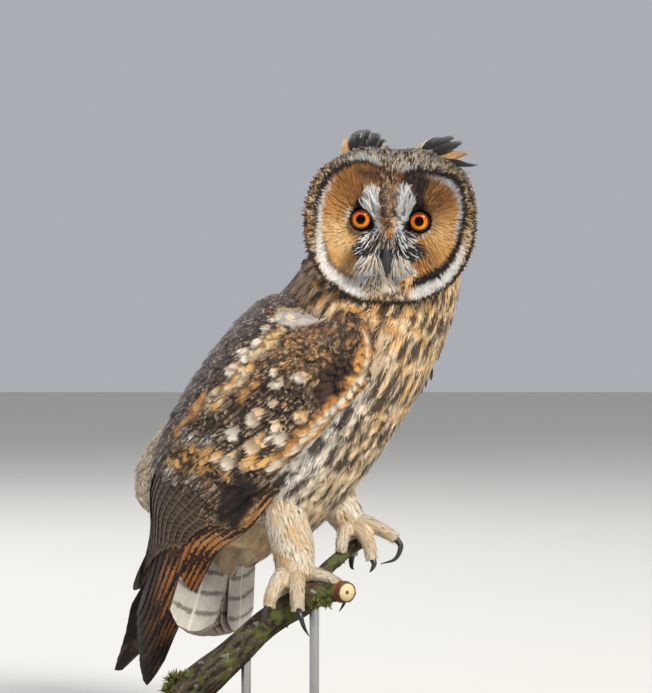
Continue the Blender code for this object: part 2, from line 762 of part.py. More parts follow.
# Legs, feet and talons


def make_leg(side_name, finish, keep_clear):
    leg = drawn_tube("leg_" + side_name, LEGS[side_name], 14, 8, finish)
    for other in keep_clear:
        cut(leg, inflated(other, GAP))
    return leg


def make_foot(side_name, finish, keep_clear):
    ankle = (*LEGS[side_name][-1][:3], ANKLE_RADIUS)
    foot, *toes = [drawn_tube("toe", (ankle, *spots), 8, 6, finish) for spots in TOES[side_name]]
    foot.name = "foot_" + side_name
    fuse(foot, toes)
    for other in keep_clear:
        cut(foot, inflated(other, GAP))
    return foot


def make_talon(name, spots, finish, keep_clear):
    rows = [(*spot, TALON_RADIUS * share) for spot, share in zip(spots, TALON_TAPER)]
    talon = drawn_tube(name, rows, 7, 6, finish)
    for other in keep_clear:
        cut(talon, inflated(other, GAP))
    return talon


# Bill, lids and ear tufts


def make_bill(name, spots, finish, keep_clear=()):
    path = smooth_through(spots, 8)
    rings = []
    for i, row in enumerate(path):
        before, after = path[max(i - 1, 0)], path[min(i + 1, len(path) - 1)]
        run = Vector((0.0, after[1] - before[1], after[2] - before[2])).normalized()
        out = Vector((0.0, -run.z, run.y))
        if out.z < 0:
            out = -out
        ring = []
        for s in range(12):
            turn = 2 * math.pi * s / 12
            across, deep = row[3] * math.cos(turn), row[3] * BILL_DEPTH * math.sin(turn)
            ring.append(head_point(row[0] + across, row[1] + out.y * deep, row[2] + out.z * deep))
        rings.append(ring)
    bill = loft(name, rings, finish)
    for other in keep_clear:
        cut(bill, inflated(other, GAP))
    return bill


def make_tuft(name, finish, keep_clear):
    """An ear tuft: feathers that rise from the brow and lie back over the crown, on a low root."""
    feathers = TUFTS[name]
    middle = feathers[len(feathers) // 2]
    core = ball(name, head_point(middle[0], middle[1], TUFT_FACE), TUFT_CORE, finish, 10, 6)
    vanes = []
    for k, (root_side, root_rise, tip_side, tip_rise, half) in enumerate(feathers):
        centres, normals, halves = [], [], []
        for i in range(TUFT_STEPS):
            s = i / (TUFT_STEPS - 1)
            up = math.sin(s * math.pi / 2)
            side = root_side + (tip_side - root_side) * (0.4 * s + 0.6 * up)
            rise = root_rise + (tip_rise - root_rise) * up
            centres.append(head_point(side, rise, TUFT_FACE - 0.0012 * (k % 2) - TUFT_BACK * s**2))
            normals.append(CROWN * s + FACE * (1.15 - s))
            halves.append(half * vane_width(s, 0.55))
        vanes.append(vane("vane", centres, normals, halves, finish))
    fuse(core, vanes)
    for other in keep_clear:
        cut(core, inflated(other, GAP))
    return core


# Perch and stand


def make_perch(bark):
    dice = random.Random(7)
    low, high = 1 - BARK_ROUGHNESS, 1 + BARK_ROUGHNESS
    bumps = [[dice.uniform(low, high) for _ in range(12)] for _ in range(14)]
    branch = drawn_tube("perch_branch", BRANCH, 12, 14, bark, roughen=lambda i, s: bumps[i][s])
    fork = drawn_tube("perch_fork", FORK, 10, 8, bark, roughen=lambda i, s: bumps[i][s])
    cut(fork, inflated(branch, GAP))
    return branch, fork


def make_base(wood):
    shape = bmesh.new()
    bmesh.ops.create_cone(
        shape, cap_ends=True, segments=48, radius1=BASE_RADIUS, radius2=BASE_RADIUS, depth=BASE_THICKNESS
    )
    for vertex in shape.verts:
        vertex.co.z += BASE_THICKNESS / 2
    top = [e for e in shape.edges if all(v.co.z > BASE_THICKNESS * 0.9 for v in e.verts)]
    bmesh.ops.bevel(shape, geom=top, offset=BASE_BEVEL, segments=2, affect="EDGES", profile=0.5)
    mesh = bpy.data.meshes.new("stand_base")
    shape.to_mesh(mesh)
    shape.free()
    mesh.shade_smooth()
    mesh.set_sharp_from_angle(angle=math.radians(35))
    mesh.materials.append(wood)
    base = bpy.data.objects.new("stand_base", mesh)
    bpy.context.scene.collection.objects.link(base)
    return base


def make_rod(name, place, top, steel, keep_clear):
    x, y = place
    path = [Vector((x, y, BASE_THICKNESS + GAP)), Vector((x, y, top))]
    rod = tube(name, path, [ROD_RADIUS] * 2, 16, steel)
    for other in keep_clear:
        cut(rod, inflated(other, GAP))
    return rod


def main():
    clear_scene()
    plumage = material("plumage", (0.42, 0.31, 0.20), 0.85)
    flight = material("flight_feathers", (0.16, 0.10, 0.06), 0.8)
    down = material("leg_down", (0.75, 0.58, 0.38), 0.9)
    iris = material("eye", (0.85, 0.30, 0.02), 0.1)
    horn = material("horn", (0.03, 0.03, 0.035), 0.35)
    bark = material("bark", (0.09, 0.08, 0.06), 0.9)
    wood = material("stand_wood", (0.22, 0.12, 0.06), 0.4)
    steel = material("stand_steel", (0.55, 0.55, 0.55), 0.3, 1.0)

    torso = make_trunk(plumage)
    head = make_head(plumage)
    eyes = [make_eye("eye_" + name, sign, iris) for name, sign in (("right", -1), ("left", 1))]
    fuse(head, [make_lid(-1, plumage), make_lid(1, plumage)])
    upper = make_bill("bill_upper", BILL_UPPER, horn)
    for sign in (-1, 1):
        place = head_point(sign * NOSTRIL[0], NOSTRIL[1], NOSTRIL[2])
        pit = ball("nostril_cutter", place, (NOSTRIL_RADIUS,) * 3, horn, 8, 6)
        pit.hide_render = True
        pit.display_type = "WIRE"
        cut(upper, pit)
    lower = make_bill("bill_lower", BILL_LOWER, horn, [upper])
    for other in [*eyes, upper, lower]:
        cut(head, inflated(other, GAP))
    neck = spine_loft("neck", NECK, 6, plumage)
    cut(neck, inflated(torso, GAP))
    cut(neck, inflated(head, GAP))
    for name in TUFTS:
        make_tuft(name, flight, [head])

    branch, fork = make_perch(bark)
    legs = {name: make_leg(name, down, [torso]) for name in ("right", "left")}
    feet = {name: make_foot(name, down, [legs[name], branch, fork]) for name in ("right", "left")}
    for name, talons in TALONS.items():
        for number, spots in enumerate(talons, 1):
            make_talon(f"talon_{name}_{number}", spots, horn, [feet[name], branch, fork])

    wing_right = make_wing(-1, "wing_right", flight, [torso, neck])
    wing_left = make_wing(1, "wing_left", flight, [torso, neck, wing_right])
    make_tail(flight, [torso, wing_right, wing_left])

    base = make_base(wood)
    for number, (place, top) in enumerate(RODS, 1):
        make_rod(f"stand_rod_{number}", place, top, steel, [branch])


if __name__ in ("__main__", "part"):
    main()
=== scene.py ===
import math

import bmesh
import bpy
import numpy as np
from numpy import (
    arange, arctan2, array, clip, column_stack, concatenate, cos, exp, full, hypot,
    interp, linspace, maximum, minimum, sin, sqrt, where,
)
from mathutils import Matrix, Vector
from mathutils.bvhtree import BVHTree
from mathutils.kdtree import KDTree


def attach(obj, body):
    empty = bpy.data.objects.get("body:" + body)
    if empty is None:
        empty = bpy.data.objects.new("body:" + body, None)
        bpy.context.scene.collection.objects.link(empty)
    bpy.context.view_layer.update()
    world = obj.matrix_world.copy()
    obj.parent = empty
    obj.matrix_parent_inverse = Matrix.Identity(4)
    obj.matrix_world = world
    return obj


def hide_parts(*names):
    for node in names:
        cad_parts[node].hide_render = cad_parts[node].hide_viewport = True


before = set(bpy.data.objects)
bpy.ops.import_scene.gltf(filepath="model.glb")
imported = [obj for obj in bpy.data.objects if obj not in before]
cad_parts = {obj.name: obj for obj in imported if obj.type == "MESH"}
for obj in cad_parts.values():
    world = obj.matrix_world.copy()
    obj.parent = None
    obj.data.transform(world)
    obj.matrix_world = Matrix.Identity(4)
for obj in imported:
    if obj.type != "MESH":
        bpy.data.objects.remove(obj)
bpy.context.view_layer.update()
print("frame loaded:", len(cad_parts), "nodes")

# Body directions: the breast faces 30 degrees round from +X towards -Y

heading = math.radians(30)
forward = array((math.cos(heading), -math.sin(heading), 0.0))
left = array((math.sin(heading), math.cos(heading), 0.0))
up = array((0.0, 0.0, 1.0))

trunk = {
    # forward, up, half depth, half width, from the vent to the neck
    "rows": (
        (-0.055, 0.118, 0.017, 0.017),
        (-0.052, 0.126, 0.03, 0.028),
        (-0.046, 0.137, 0.0405, 0.036),
        (-0.04, 0.152, 0.052, 0.043),
        (-0.0235, 0.1713, 0.0565, 0.0475),
        (-0.0045, 0.1939, 0.0585, 0.05),
        (0.0163, 0.2187, 0.058, 0.05),
        (0.0386, 0.2426, 0.0533, 0.048),
        (0.054, 0.266, 0.0502, 0.046),
        (0.06, 0.278, 0.05, 0.041),
        (0.0645, 0.292, 0.049, 0.036),
        (0.068, 0.31, 0.042, 0.033),
    ),
    "coatDepth": 0.0035,
}
rump = {
    "path": ((-0.048, 0.208), (-0.074, 0.183), (-0.0945, 0.16), (-0.102, 0.145), (-0.1, 0.133)),
    "radii": (0.012, 0.018, 0.018, 0.013, 0.003),
}
head = {
    "middle": (0.0608, -0.042, 0.316),
    "yaw": math.radians(6),
    "roll": math.radians(2.0),
    "back": 0.048,
    "rimForward": 0.03,
    "dish": 0.005,
    # half sizes of the ball in which no trunk feather shows, and how far back it lies
    "core": (0.047, 0.044, 0.037),
    "coreBack": 0.012,
    # disc radius at angles up from its side
    "outline": (
        (-90, 0.045), (-60, 0.048), (-30, 0.0505), (0, 0.0515), (35, 0.054), (62, 0.0505), (90, 0.0445)
    ),
}
eye = {
    "radius": 0.01,
    "spread": 0.0177,
    "rise": 0.0043,
    "forward": 0.02,
    "openWidth": 0.0061,  # half sizes of the gap between the lids
    "openTop": 0.0056,
}
wing = {
    # forward, left, up, half depth, half width, front edge angle, upper edge angle
    "rows": (
        (0.0481, 0.0, 0.2566, 0.051, 0.05, 80, 107),
        (0.0425, 0.0, 0.2477, 0.054, 0.0535, 54, 140),
        (0.0331, 0.0, 0.2367, 0.0575, 0.0555, 46, 158),
        (0.0163, 0.0, 0.2187, 0.061, 0.057, 44, 166),
        (-0.0045, 0.0, 0.1939, 0.0616, 0.057, 46, 168),
        (-0.023, 0.0, 0.171, 0.0605, 0.055, 50, 168),
        (-0.0403, 0.0, 0.1492, 0.056, 0.051, 50, 168),
        (-0.0604, 0.0, 0.1312, 0.0447, 0.0418, 50, 166),
        (-0.0708, 0.0, 0.1068, 0.0327, 0.034, 50, 165),
        (-0.0906, 0.0, 0.0731, 0.0245, 0.021, 50, 160),
        (-0.1002, 0.0, 0.053, 0.022, 0.018, 50, 150),
        (-0.111, 0.0, 0.029, 0.018, 0.014, 50, 140),
    ),
    "leftTip": (
        (-0.076, 0.0, 0.1068, 0.0327, 0.034, 50, 165),
        (-0.104, -0.006, 0.0731, 0.02, 0.019, 60, 160),
        (-0.117, -0.011, 0.052, 0.016, 0.015, 70, 150),
        (-0.1265, -0.015, 0.033, 0.012, 0.011, 80, 140),
    ),
    "lean": math.radians(34),
}
tail = {
    "root": (-0.044, 0.0, 0.145),
    "tip": (-0.0644, 0.0, 0.057),
    "twist": math.radians(20),
    "fan": math.radians(9),
}
legs = {
    "right": {
        "path": (
            (-0.01, -0.016, 0.156), (-0.006, -0.0195, 0.136), (-0.001, -0.022, 0.116), (0.0, -0.023, 0.103)
        ),
        "radii": (0.019, 0.0145, 0.0128, 0.0112),
    },
    "left": {
        "path": ((0.012, 0.01, 0.163), (0.022, 0.008, 0.149), (0.03, 0.005, 0.138), (0.035, 0.003, 0.13)),
        "radii": (0.02, 0.015, 0.0115, 0.0095),
    },
}
toes = {
    # each toe starts where its leg ends: the places after that and the radii there
    "rootRadius": 0.0085,
    "right": (
        (
            ((-0.008, -0.03, 0.1), (-0.014, -0.036, 0.09), (-0.0155, -0.0375, 0.0835)),
            (0.0058, 0.0042, 0.0036)
        ),
        (
            ((0.001, -0.032, 0.099), (0.0015, -0.038, 0.09), (0.0018, -0.0375, 0.0815)),
            (0.006, 0.0044, 0.0038)
        ),
        (((0.01, -0.024, 0.102), (0.019, -0.026, 0.1), (0.026, -0.029, 0.0965)), (0.005, 0.0036, 0.003)),
        (
            ((-0.004, -0.014, 0.098), (-0.006, -0.0085, 0.089), (-0.0065, -0.009, 0.08)),
            (0.0055, 0.0042, 0.0034)
        ),
    ),
    "left": (
        (((0.047, -0.003, 0.13), (0.056, -0.006, 0.126), (0.062, -0.007, 0.1225)), (0.005, 0.0038, 0.0034)),
        (
            ((0.041, -0.005, 0.127), (0.0455, -0.009, 0.119), (0.0475, -0.01, 0.1105)),
            (0.0052, 0.0042, 0.0036)
        ),
        (((0.031, -0.006, 0.126), (0.029, -0.01, 0.12), (0.0285, -0.0095, 0.115)), (0.0048, 0.0038, 0.0032)),
        (((0.036, 0.01, 0.125), (0.036, 0.0115, 0.118), (0.0355, 0.011, 0.111)), (0.0052, 0.004, 0.0034)),
    ),
}


def srgb(*colour):
    # a colour as a painter reads it, 0 to 255, made linear
    return array(
        [c / 255 / 12.92 if c / 255 <= 0.04045 else ((c / 255 + 0.055) / 1.055) ** 2.4 for c in colour]
    )


colours = {
    "cream": srgb(238, 216, 176),
    "darkBrown": srgb(56, 40, 30),
    "black": srgb(26, 22, 21),
    "crown": srgb(150, 122, 92),
    "painted": (1.0, 1.0, 1.0),  # for feathers whose colour is painted by place
}
around = (-math.pi, math.pi)  # once round a body
fullTurn = 6.28318  # for the sines in the shaders

# Smooth curves and surfaces, for many places at once


def curveThrough(rows, share):
    # values on a Catmull-Rom curve through the rows; share runs from 0 to 1 and may pass a little beyond
    rows = np.asarray(rows, float)
    share = np.asarray(share, float)
    last = len(rows) - 1
    place = share * last
    i = clip(np.floor(place).astype(int), 0, last - 1)
    t = (place - i)[..., None]
    p1, p2 = rows[i], rows[i + 1]
    p0 = where((i > 0)[..., None], rows[maximum(i - 1, 0)], 2 * p1 - p2)
    p3 = where((i + 2 <= last)[..., None], rows[minimum(i + 2, last)], 2 * p2 - p1)
    inside = (
        0.5
        * (
            2 * p1 + (p2 - p0) * t + (2 * p0 - 5 * p1 + 4 * p2 - p3) * t**2
            + (3 * p1 - p0 - 3 * p2 + p3) * t**3
        )
    )
    beyond = where(t < 0, p1 + (p2 - p1) * t, p2 + (p2 - p1) * (t - 1))
    return where((t < 0) | (t > 1), beyond, inside)


def settle(obj, slot, *finishes, replaced=()):
    for finish in finishes:
        obj.data.materials.append(finish)
    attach(obj, "root")
    if replaced:
        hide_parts(*replaced)


def unit(v):
    return v / maximum(np.linalg.norm(v, axis=-1, keepdims=True), 1e-9)


def trunkSurface(t, phi, lift=0.0):
    # phi is 0 at the breast, 90 degrees at the owl's left and 180 at the spine
    c = curveThrough(trunk["rows"], t)
    d = curveThrough(trunk["rows"], t + 0.01) - curveThrough(trunk["rows"], t - 0.01)
    run = unit(d[..., 0:1] * forward + d[..., 1:2] * up)
    front = unit(np.cross(left, run))
    front = where((front @ forward)[..., None] < 0, -front, front)
    middle = c[..., 0:1] * forward + c[..., 1:2] * up
    lift = np.asarray(lift)
    depth = (c[..., 2] + lift)[..., None]
    width = (c[..., 3] + lift)[..., None]
    return middle + front * depth * cos(phi)[..., None] + left * width * sin(phi)[..., None]


def tubeSurface(path, radii, flat=False):
    # a surface round a path, either in the world's directions or as (forward, up) pairs
    path = array([p[0] * forward + p[1] * up for p in path]) if flat else np.asarray(path, float)
    rows = column_stack([path, radii])

    def surface(t, phi, lift=0.0):
        c = curveThrough(rows, t)
        d = unit(curveThrough(rows, t + 0.02)[..., :3] - curveThrough(rows, t - 0.02)[..., :3])
        side = unit(np.cross(d, np.broadcast_to(left, d.shape)) + 1e-6)
        other = unit(np.cross(side, d))
        r = (c[..., 3] + lift)[..., None]
        return c[..., :3] + (side * cos(phi)[..., None] - other * sin(phi)[..., None]) * r

    return surface


def toeTubes(leg):
    start = (legs[leg]["path"][-1],)
    return [tubeSurface(start + path, (toes["rootRadius"],) + radii) for path, radii in toes[leg]]


def headAxes():
    face = array((-math.sin(head["yaw"]), -math.cos(head["yaw"]), 0.0))
    side = array((math.cos(head["yaw"]), -math.sin(head["yaw"]), 0.0))
    crown = up * math.cos(head["roll"]) + side * math.sin(head["roll"])
    side = side * math.cos(head["roll"]) - up * math.sin(head["roll"])
    return face, side, crown


face, side, crown = headAxes()
headMiddle = array(head["middle"])


def headPoint(x, z, y):
    # x to the owl's left, z up the crown and y out of the face
    return (
        headMiddle + np.asarray(x)[..., None] * side + np.asarray(z)[..., None] * crown
        + np.asarray(y)[..., None] * face
    )


def discRadius(turn):
    angle = np.degrees(turn)
    angle = (angle + 180) % 360 - 180
    angle = where(np.abs(angle) > 90, np.sign(angle) * 180 - angle, angle)
    stops = array([a for a, _ in head["outline"]])
    sizes = array([r for _, r in head["outline"]])
    k = clip(np.searchsorted(stops, angle, side="right") - 1, 0, len(stops) - 2)
    t = clip((angle - stops[k]) / (stops[k + 1] - stops[k]), 0, 1)
    t = t * t * (3 - 2 * t)
    return sizes[k] + (sizes[k + 1] - sizes[k]) * t


def discShare(x, z):
    return hypot(x, z) / discRadius(arctan2(z, x))


def faceForward(x, z, share):
    dish = head["rimForward"] - head["dish"] * (1 - share**3)
    ridge = 0.0135 * gauss(x, 0, 0.0075) * gauss(z, -0.006, 0.024)
    brow = 0.0045 * gauss(np.abs(x), 0.013, 0.007) * gauss(z, 0.02, 0.01)
    hollow = 0.002 * gauss(np.abs(x), eye["spread"], 0.01) * gauss(z, eye["rise"], 0.01)
    return dish + ridge + brow - hollow


def headSurface(back, turn, lift=0.0):
    # the head behind the facial disc: back is 0 at its rim and 1 at the nape
    back = clip(back, 0.0, 1.0)
    swell = 0.004 * maximum(sin(turn), 0) * sin(math.pi * minimum(back * 1.6, 1))
    reach = (discRadius(turn) + swell + lift) * cos(back * math.pi / 2) ** 0.5
    rim = head["rimForward"] - 0.001
    out = rim - (rim + head["back"] + lift) * sin(back * math.pi / 2) ** 1.15
    return headPoint(reach * cos(turn), reach * sin(turn), out)


def wingSurface(sign):
    rows = wing["rows"] if sign < 0 else wing["rows"][: -len(wing["leftTip"])] + wing["leftTip"]
    lean = forward * math.cos(wing["lean"]) - up * math.sin(wing["lean"])

    def surface(along, across, lift=0.0):
        c = curveThrough(rows, along)
        turn = np.radians(c[..., 5] + (c[..., 6] - c[..., 5]) * across)[..., None]
        middle = c[..., 0:1] * forward + c[..., 1:2] * left + c[..., 2:3] * up
        lift = np.asarray(lift)
        depth = (c[..., 3] + lift)[..., None]
        width = (c[..., 4] + lift)[..., None]
        # the wrist stands fuller in front
        wrist = (
            gauss(np.asarray(along, float), 0.02, 0.075) * (1 - smooth(np.asarray(across, float), 0.1, 0.65))
        )
        middle = middle + (0.0145 * forward + 0.0115 * up) * wrist[..., None]
        return middle + lean * depth * cos(turn) + left * sign * width * sin(turn)

    return surface


def surfaceNormal(surface, a, b):
    # the outward normal of a surface at many places
    h = 1e-3
    da = surface(a + h, b) - surface(a - h, b)
    db = surface(a, b + h) - surface(a, b - h)
    n = unit(np.cross(da, db))
    out = surface(a, b, 0.002) - surface(a, b)
    flip = np.sign(np.sum(n * out, axis=-1, keepdims=True))
    return n * where(flip == 0, 1, flip)


# Feathers


featherValues = ("tone", "mark", "pale", "lines", "extra")


def alongFeathers(centre, normal, s):
    # middle, side way and normal of each feather at the shares s of its length
    steps = centre.shape[1]
    across = unit(np.cross(unit(np.gradient(centre, axis=1)), normal))
    place = s * (steps - 1)
    i = clip(np.floor(place).astype(int), 0, steps - 2)
    f = (place - i)[..., None]
    pick = arange(len(centre))[:, None, None]
    middle, b, out = [v[pick, i] * (1 - f) + v[pick, i + 1] * f for v in (centre, across, normal)]
    return middle, unit(b), unit(out)


class Coat:
    # gathers feathers and makes them one mesh
    def __init__(self, name):
        self.name = name
        self.points, self.quads, self.vaneUv, self.bakeUv = [], [], [], []
        self.values = {kind: [] for kind in featherValues}
        self.count = 0

    def add(
        self, centre, normal, half, look, bake, strips=5, tip=0.3, fray=0.1, cup=0.12, gap=1.12,
        rootWidth=0.45, seed=1, paint=None, sharp=True
    ):
        # feathers of a few narrow strips that share a middle line; centre and normal are (feathers, steps, 3),
        # half is the half widths, and bake the places on the skin's unwrap
        dice = np.random.default_rng(seed)
        n, steps, _ = centre.shape
        cs = (arange(strips) + 0.5) / strips * 2 - 1
        reach = 1 - tip * cs[None] ** 2 + dice.uniform(-fray, fray, (n, strips)) * 0.6
        reach = minimum(reach, 1.0)
        profile = linspace(0, 1, steps) ** 0.85
        s = reach[:, :, None] * profile[None, None]
        middle, b, out = alongFeathers(centre, normal, s)
        w = half[:, None, None] * (rootWidth + (1 - rootWidth) * clip(s / 0.35, 0, 1))
        c = cs[None, :, None] + 0 * s
        point = where(
            profile > 0.99, 0.18, where(profile > 0.7, 0.85, 1.0)
        ) if sharp else where(profile > 0.99, 0.45, 1.0)
        own = w / strips * gap * point[None, None]
        spread = 1 + 0.1 * s * (strips > 2)
        base = middle + b * (w * c * spread)[..., None] - out * (cup * w * c**2)[..., None]
        low = base - b * own[..., None]
        high = base + b * own[..., None]
        points = np.stack([low, high], axis=3).reshape(-1, 3)
        edge = own / maximum(w, 1e-9)
        u = np.stack([(c - edge) * 0.5 + 0.5, (c + edge) * 0.5 + 0.5], axis=3)
        v = np.stack([s, s], axis=3)
        uv = np.stack([clip(u, 0.0, 1.0), v], axis=-1).reshape(-1, 2)
        blade = arange(n * strips) * steps * 2
        k = arange(steps - 1) * 2
        first = (blade[:, None] + k[None]).reshape(-1)
        quads = np.stack([first, first + 1, first + 3, first + 2], axis=1) + self.count
        patch = bake[:, None, None, None, :] + (np.stack([u, v], axis=-1) - 0.5) * 0.003
        self.store(points, quads, uv, patch.reshape(-1, 2), n, strips * steps * 2, look, paint)

    def addVane(
        self, centre, normal, half, look, bake, columns=6, tip=0.3, cup=0.1, slope=0.0, rootWidth=0.55,
        notch=0.0, cell=(0.003, 0.003), seed=1, paint=None
    ):
        # feathers with closed vanes: a grid over each, with a rounded tip
        dice = np.random.default_rng(seed)
        n, steps, _ = centre.shape
        cs = linspace(-1, 1, columns + 1)
        reach = 1 - tip * np.abs(cs[None]) ** 2.4 + dice.uniform(-notch, notch, (n, columns + 1))
        s = minimum(reach, 1.0)[:, :, None] * linspace(0, 1, steps)[None, None]
        middle, b, out = alongFeathers(centre, normal, s)
        w = half[:, None, None] * (rootWidth + (1 - rootWidth) * clip(s / 0.3, 0, 1))
        c = cs[None, :, None] + 0 * s
        slope = np.broadcast_to(np.asarray(slope, float), (n,))[:, None, None]
        base = middle + b * (w * c)[..., None] + out * (slope * w * c - cup * w * c**2)[..., None]
        uv = np.stack([c * 0.5 + 0.5, s], axis=-1)
        patch = bake[:, None, None, :] + (uv - 0.5) * array(cell)
        grid = (
            (arange(n)[:, None, None] * (columns + 1) + arange(columns)[None, :, None]) * steps
            + arange(steps - 1)[None, None]
        )
        first = grid.reshape(-1)
        quads = np.stack([first, first + steps, first + steps + 1, first + 1], axis=1) + self.count
        self.store(
            base.reshape(-1, 3), quads, uv.reshape(-1, 2), patch.reshape(-1, 2), n, (columns + 1) * steps,
            look, paint
        )

    def store(self, points, quads, uv, patch, feathers, each, look, paint):
        self.points.append(points)
        self.quads.append(quads)
        self.vaneUv.append(uv)
        self.bakeUv.append(clip(patch, 0.001, 0.999))
        for kind in featherValues:
            values = np.repeat(look[kind], each, axis=0)
            if kind == "tone" and paint is not None:
                painted = paint(points, np.repeat(arange(feathers), each))
                values = painted[:, :3] * values
            if kind == "lines" and paint is not None and painted.shape[1] > 3:
                values[:, (0, 1, 3)] *= painted[:, 3:4]
            if values.shape[1] == 3:
                values = column_stack([values, np.ones(len(values))])
            self.values[kind].append(values)
        self.count += len(points)

    def build(self, material, slot, replaced=()):
        points = concatenate(self.points)
        quads = concatenate(self.quads)
        mesh = bpy.data.meshes.new(self.name)
        mesh.vertices.add(len(points))
        mesh.vertices.foreach_set("co", points.astype(np.float32).ravel())
        mesh.loops.add(len(quads) * 4)
        mesh.loops.foreach_set("vertex_index", quads.astype(np.int32).ravel())
        mesh.polygons.add(len(quads))
        mesh.polygons.foreach_set("loop_start", arange(0, len(quads) * 4, 4, dtype=np.int32))
        mesh.update(calc_edges=True)
        corners = quads.ravel()
        for label, values in (("vane", self.vaneUv), ("OFBake", self.bakeUv)):
            layer = mesh.uv_layers.new(name=label)
            layer.data.foreach_set("uv", concatenate(values)[corners].astype(np.float32).ravel())
        for kind, values in self.values.items():
            layer = mesh.attributes.new(kind, "FLOAT_COLOR", "POINT")
            layer.data.foreach_set("color", concatenate(values).astype(np.float32).ravel())
        mesh.uv_layers.active = mesh.uv_layers["OFBake"]
        mesh.shade_smooth()
        obj = bpy.data.objects.new(self.name, mesh)
        bpy.context.scene.collection.objects.link(obj)
        settle(obj, slot, material, replaced=replaced)
        print(f"{self.name}: {len(quads) * 2} triangles")


# Shader wiring


class Wire:
    # a node's output that can stand in a sum
    def __init__(self, finish, socket):
        self.finish = finish
        self.socket = socket

    def maths(self, operation, *others, clamp=False):
        return self.finish.node(
            "ShaderNodeMath", {"operation": operation, "use_clamp": clamp}, dict(enumerate((self,) + others))
        )

    def __add__(self, other):
        return self.maths("ADD", other)

    def __mul__(self, other):
        return self.maths("MULTIPLY", other)

    def __sub__(self, other):
        return self.maths("SUBTRACT", other)

    def __rsub__(self, other):
        return self.finish.node("ShaderNodeMath", {"operation": "SUBTRACT"}, {0: other, 1: self})

    def __truediv__(self, other):
        return self.maths("DIVIDE", other)

    def __abs__(self):
        return self.maths("ABSOLUTE")

    __radd__ = __add__
    __rmul__ = __mul__

    def above(self, edge, soft):
        # 0 below the edge and 1 above it, with a soft step
        values = {"Value": self, "From Min": edge - soft, "From Max": edge + soft}
        return self.finish.node("ShaderNodeMapRange", {"interpolation_type": "SMOOTHSTEP"}, values)


class Finish:
    # a material with one Principled shader, and the wires that lead to it
    def __init__(self, name, constants=None):
        self.material = bpy.data.materials.new(name)
        self.material.use_nodes = True
        self.tree = self.material.node_tree
        self.shader = self.tree.nodes["Principled BSDF"]
        for key, value in (constants or {}).items():
            self.shader.inputs[key].default_value = value

    def node(self, kind, settings=None, values=None, out=0):
        made = self.tree.nodes.new(kind)
        for key, value in (settings or {}).items():
            setattr(made, key, value)
        for key, value in (values or {}).items():
            self.put(made.inputs[key], value)
        if isinstance(out, tuple):
            return [Wire(self, made.outputs[o]) for o in out]
        return Wire(self, made.outputs[out])

    def put(self, socket, value):
        if isinstance(value, Wire):
            self.tree.links.new(value.socket, socket)
        elif socket.type == "RGBA":
            socket.default_value = (*[float(v) for v in value[:3]], 1.0)
        else:
            socket.default_value = value

    def mix(self, factor, first, second, blend="MIX"):
        return self.node(
            "ShaderNodeMix", {"data_type": "RGBA", "blend_type": blend, "clamp_factor": True},
            {0: factor, 6: first, 7: second}, out=2
        )

    def noise(self, vector, scale, detail=2.0, roughness=0.5):
        return self.node(
            "ShaderNodeTexNoise", {},
            {"Vector": vector, "Scale": scale, "Detail": detail, "Roughness": roughness}
        )

    def attribute(self, name, out=0):
        return self.node("ShaderNodeAttribute", {"attribute_name": name}, out=out)

    def scaled(self, vector, factors):
        return self.node("ShaderNodeVectorMath", {"operation": "MULTIPLY"}, {0: vector, 1: factors})

    def vector(self, x, y, z):
        return self.node("ShaderNodeCombineXYZ", {}, {0: x, 1: y, 2: z})

    def across(self, vector):
        return self.node("ShaderNodeSeparateXYZ", {}, {0: vector}, out=(0, 1))

    def channels(self, colour):
        return self.node("ShaderNodeSeparateColor", {}, {0: colour}, out=(0, 1, 2))

    def unwrap(self, name):
        return self.across(self.node("ShaderNodeUVMap", {"uv_map": name}))

    def objectPlace(self):
        return self.node("ShaderNodeTexCoord", out="Object")

    def grey(self, value):
        return self.node("ShaderNodeCombineColor", {}, {0: value, 1: value, 2: value})

    def bump(self, height, distance, strength=1.0):
        self.put(
            self.shader.inputs["Normal"],
            self.node("ShaderNodeBump", {}, {"Height": height, "Distance": distance, "Strength": strength})
        )

    def colour(self, wire):
        self.put(self.shader.inputs["Base Color"], wire)


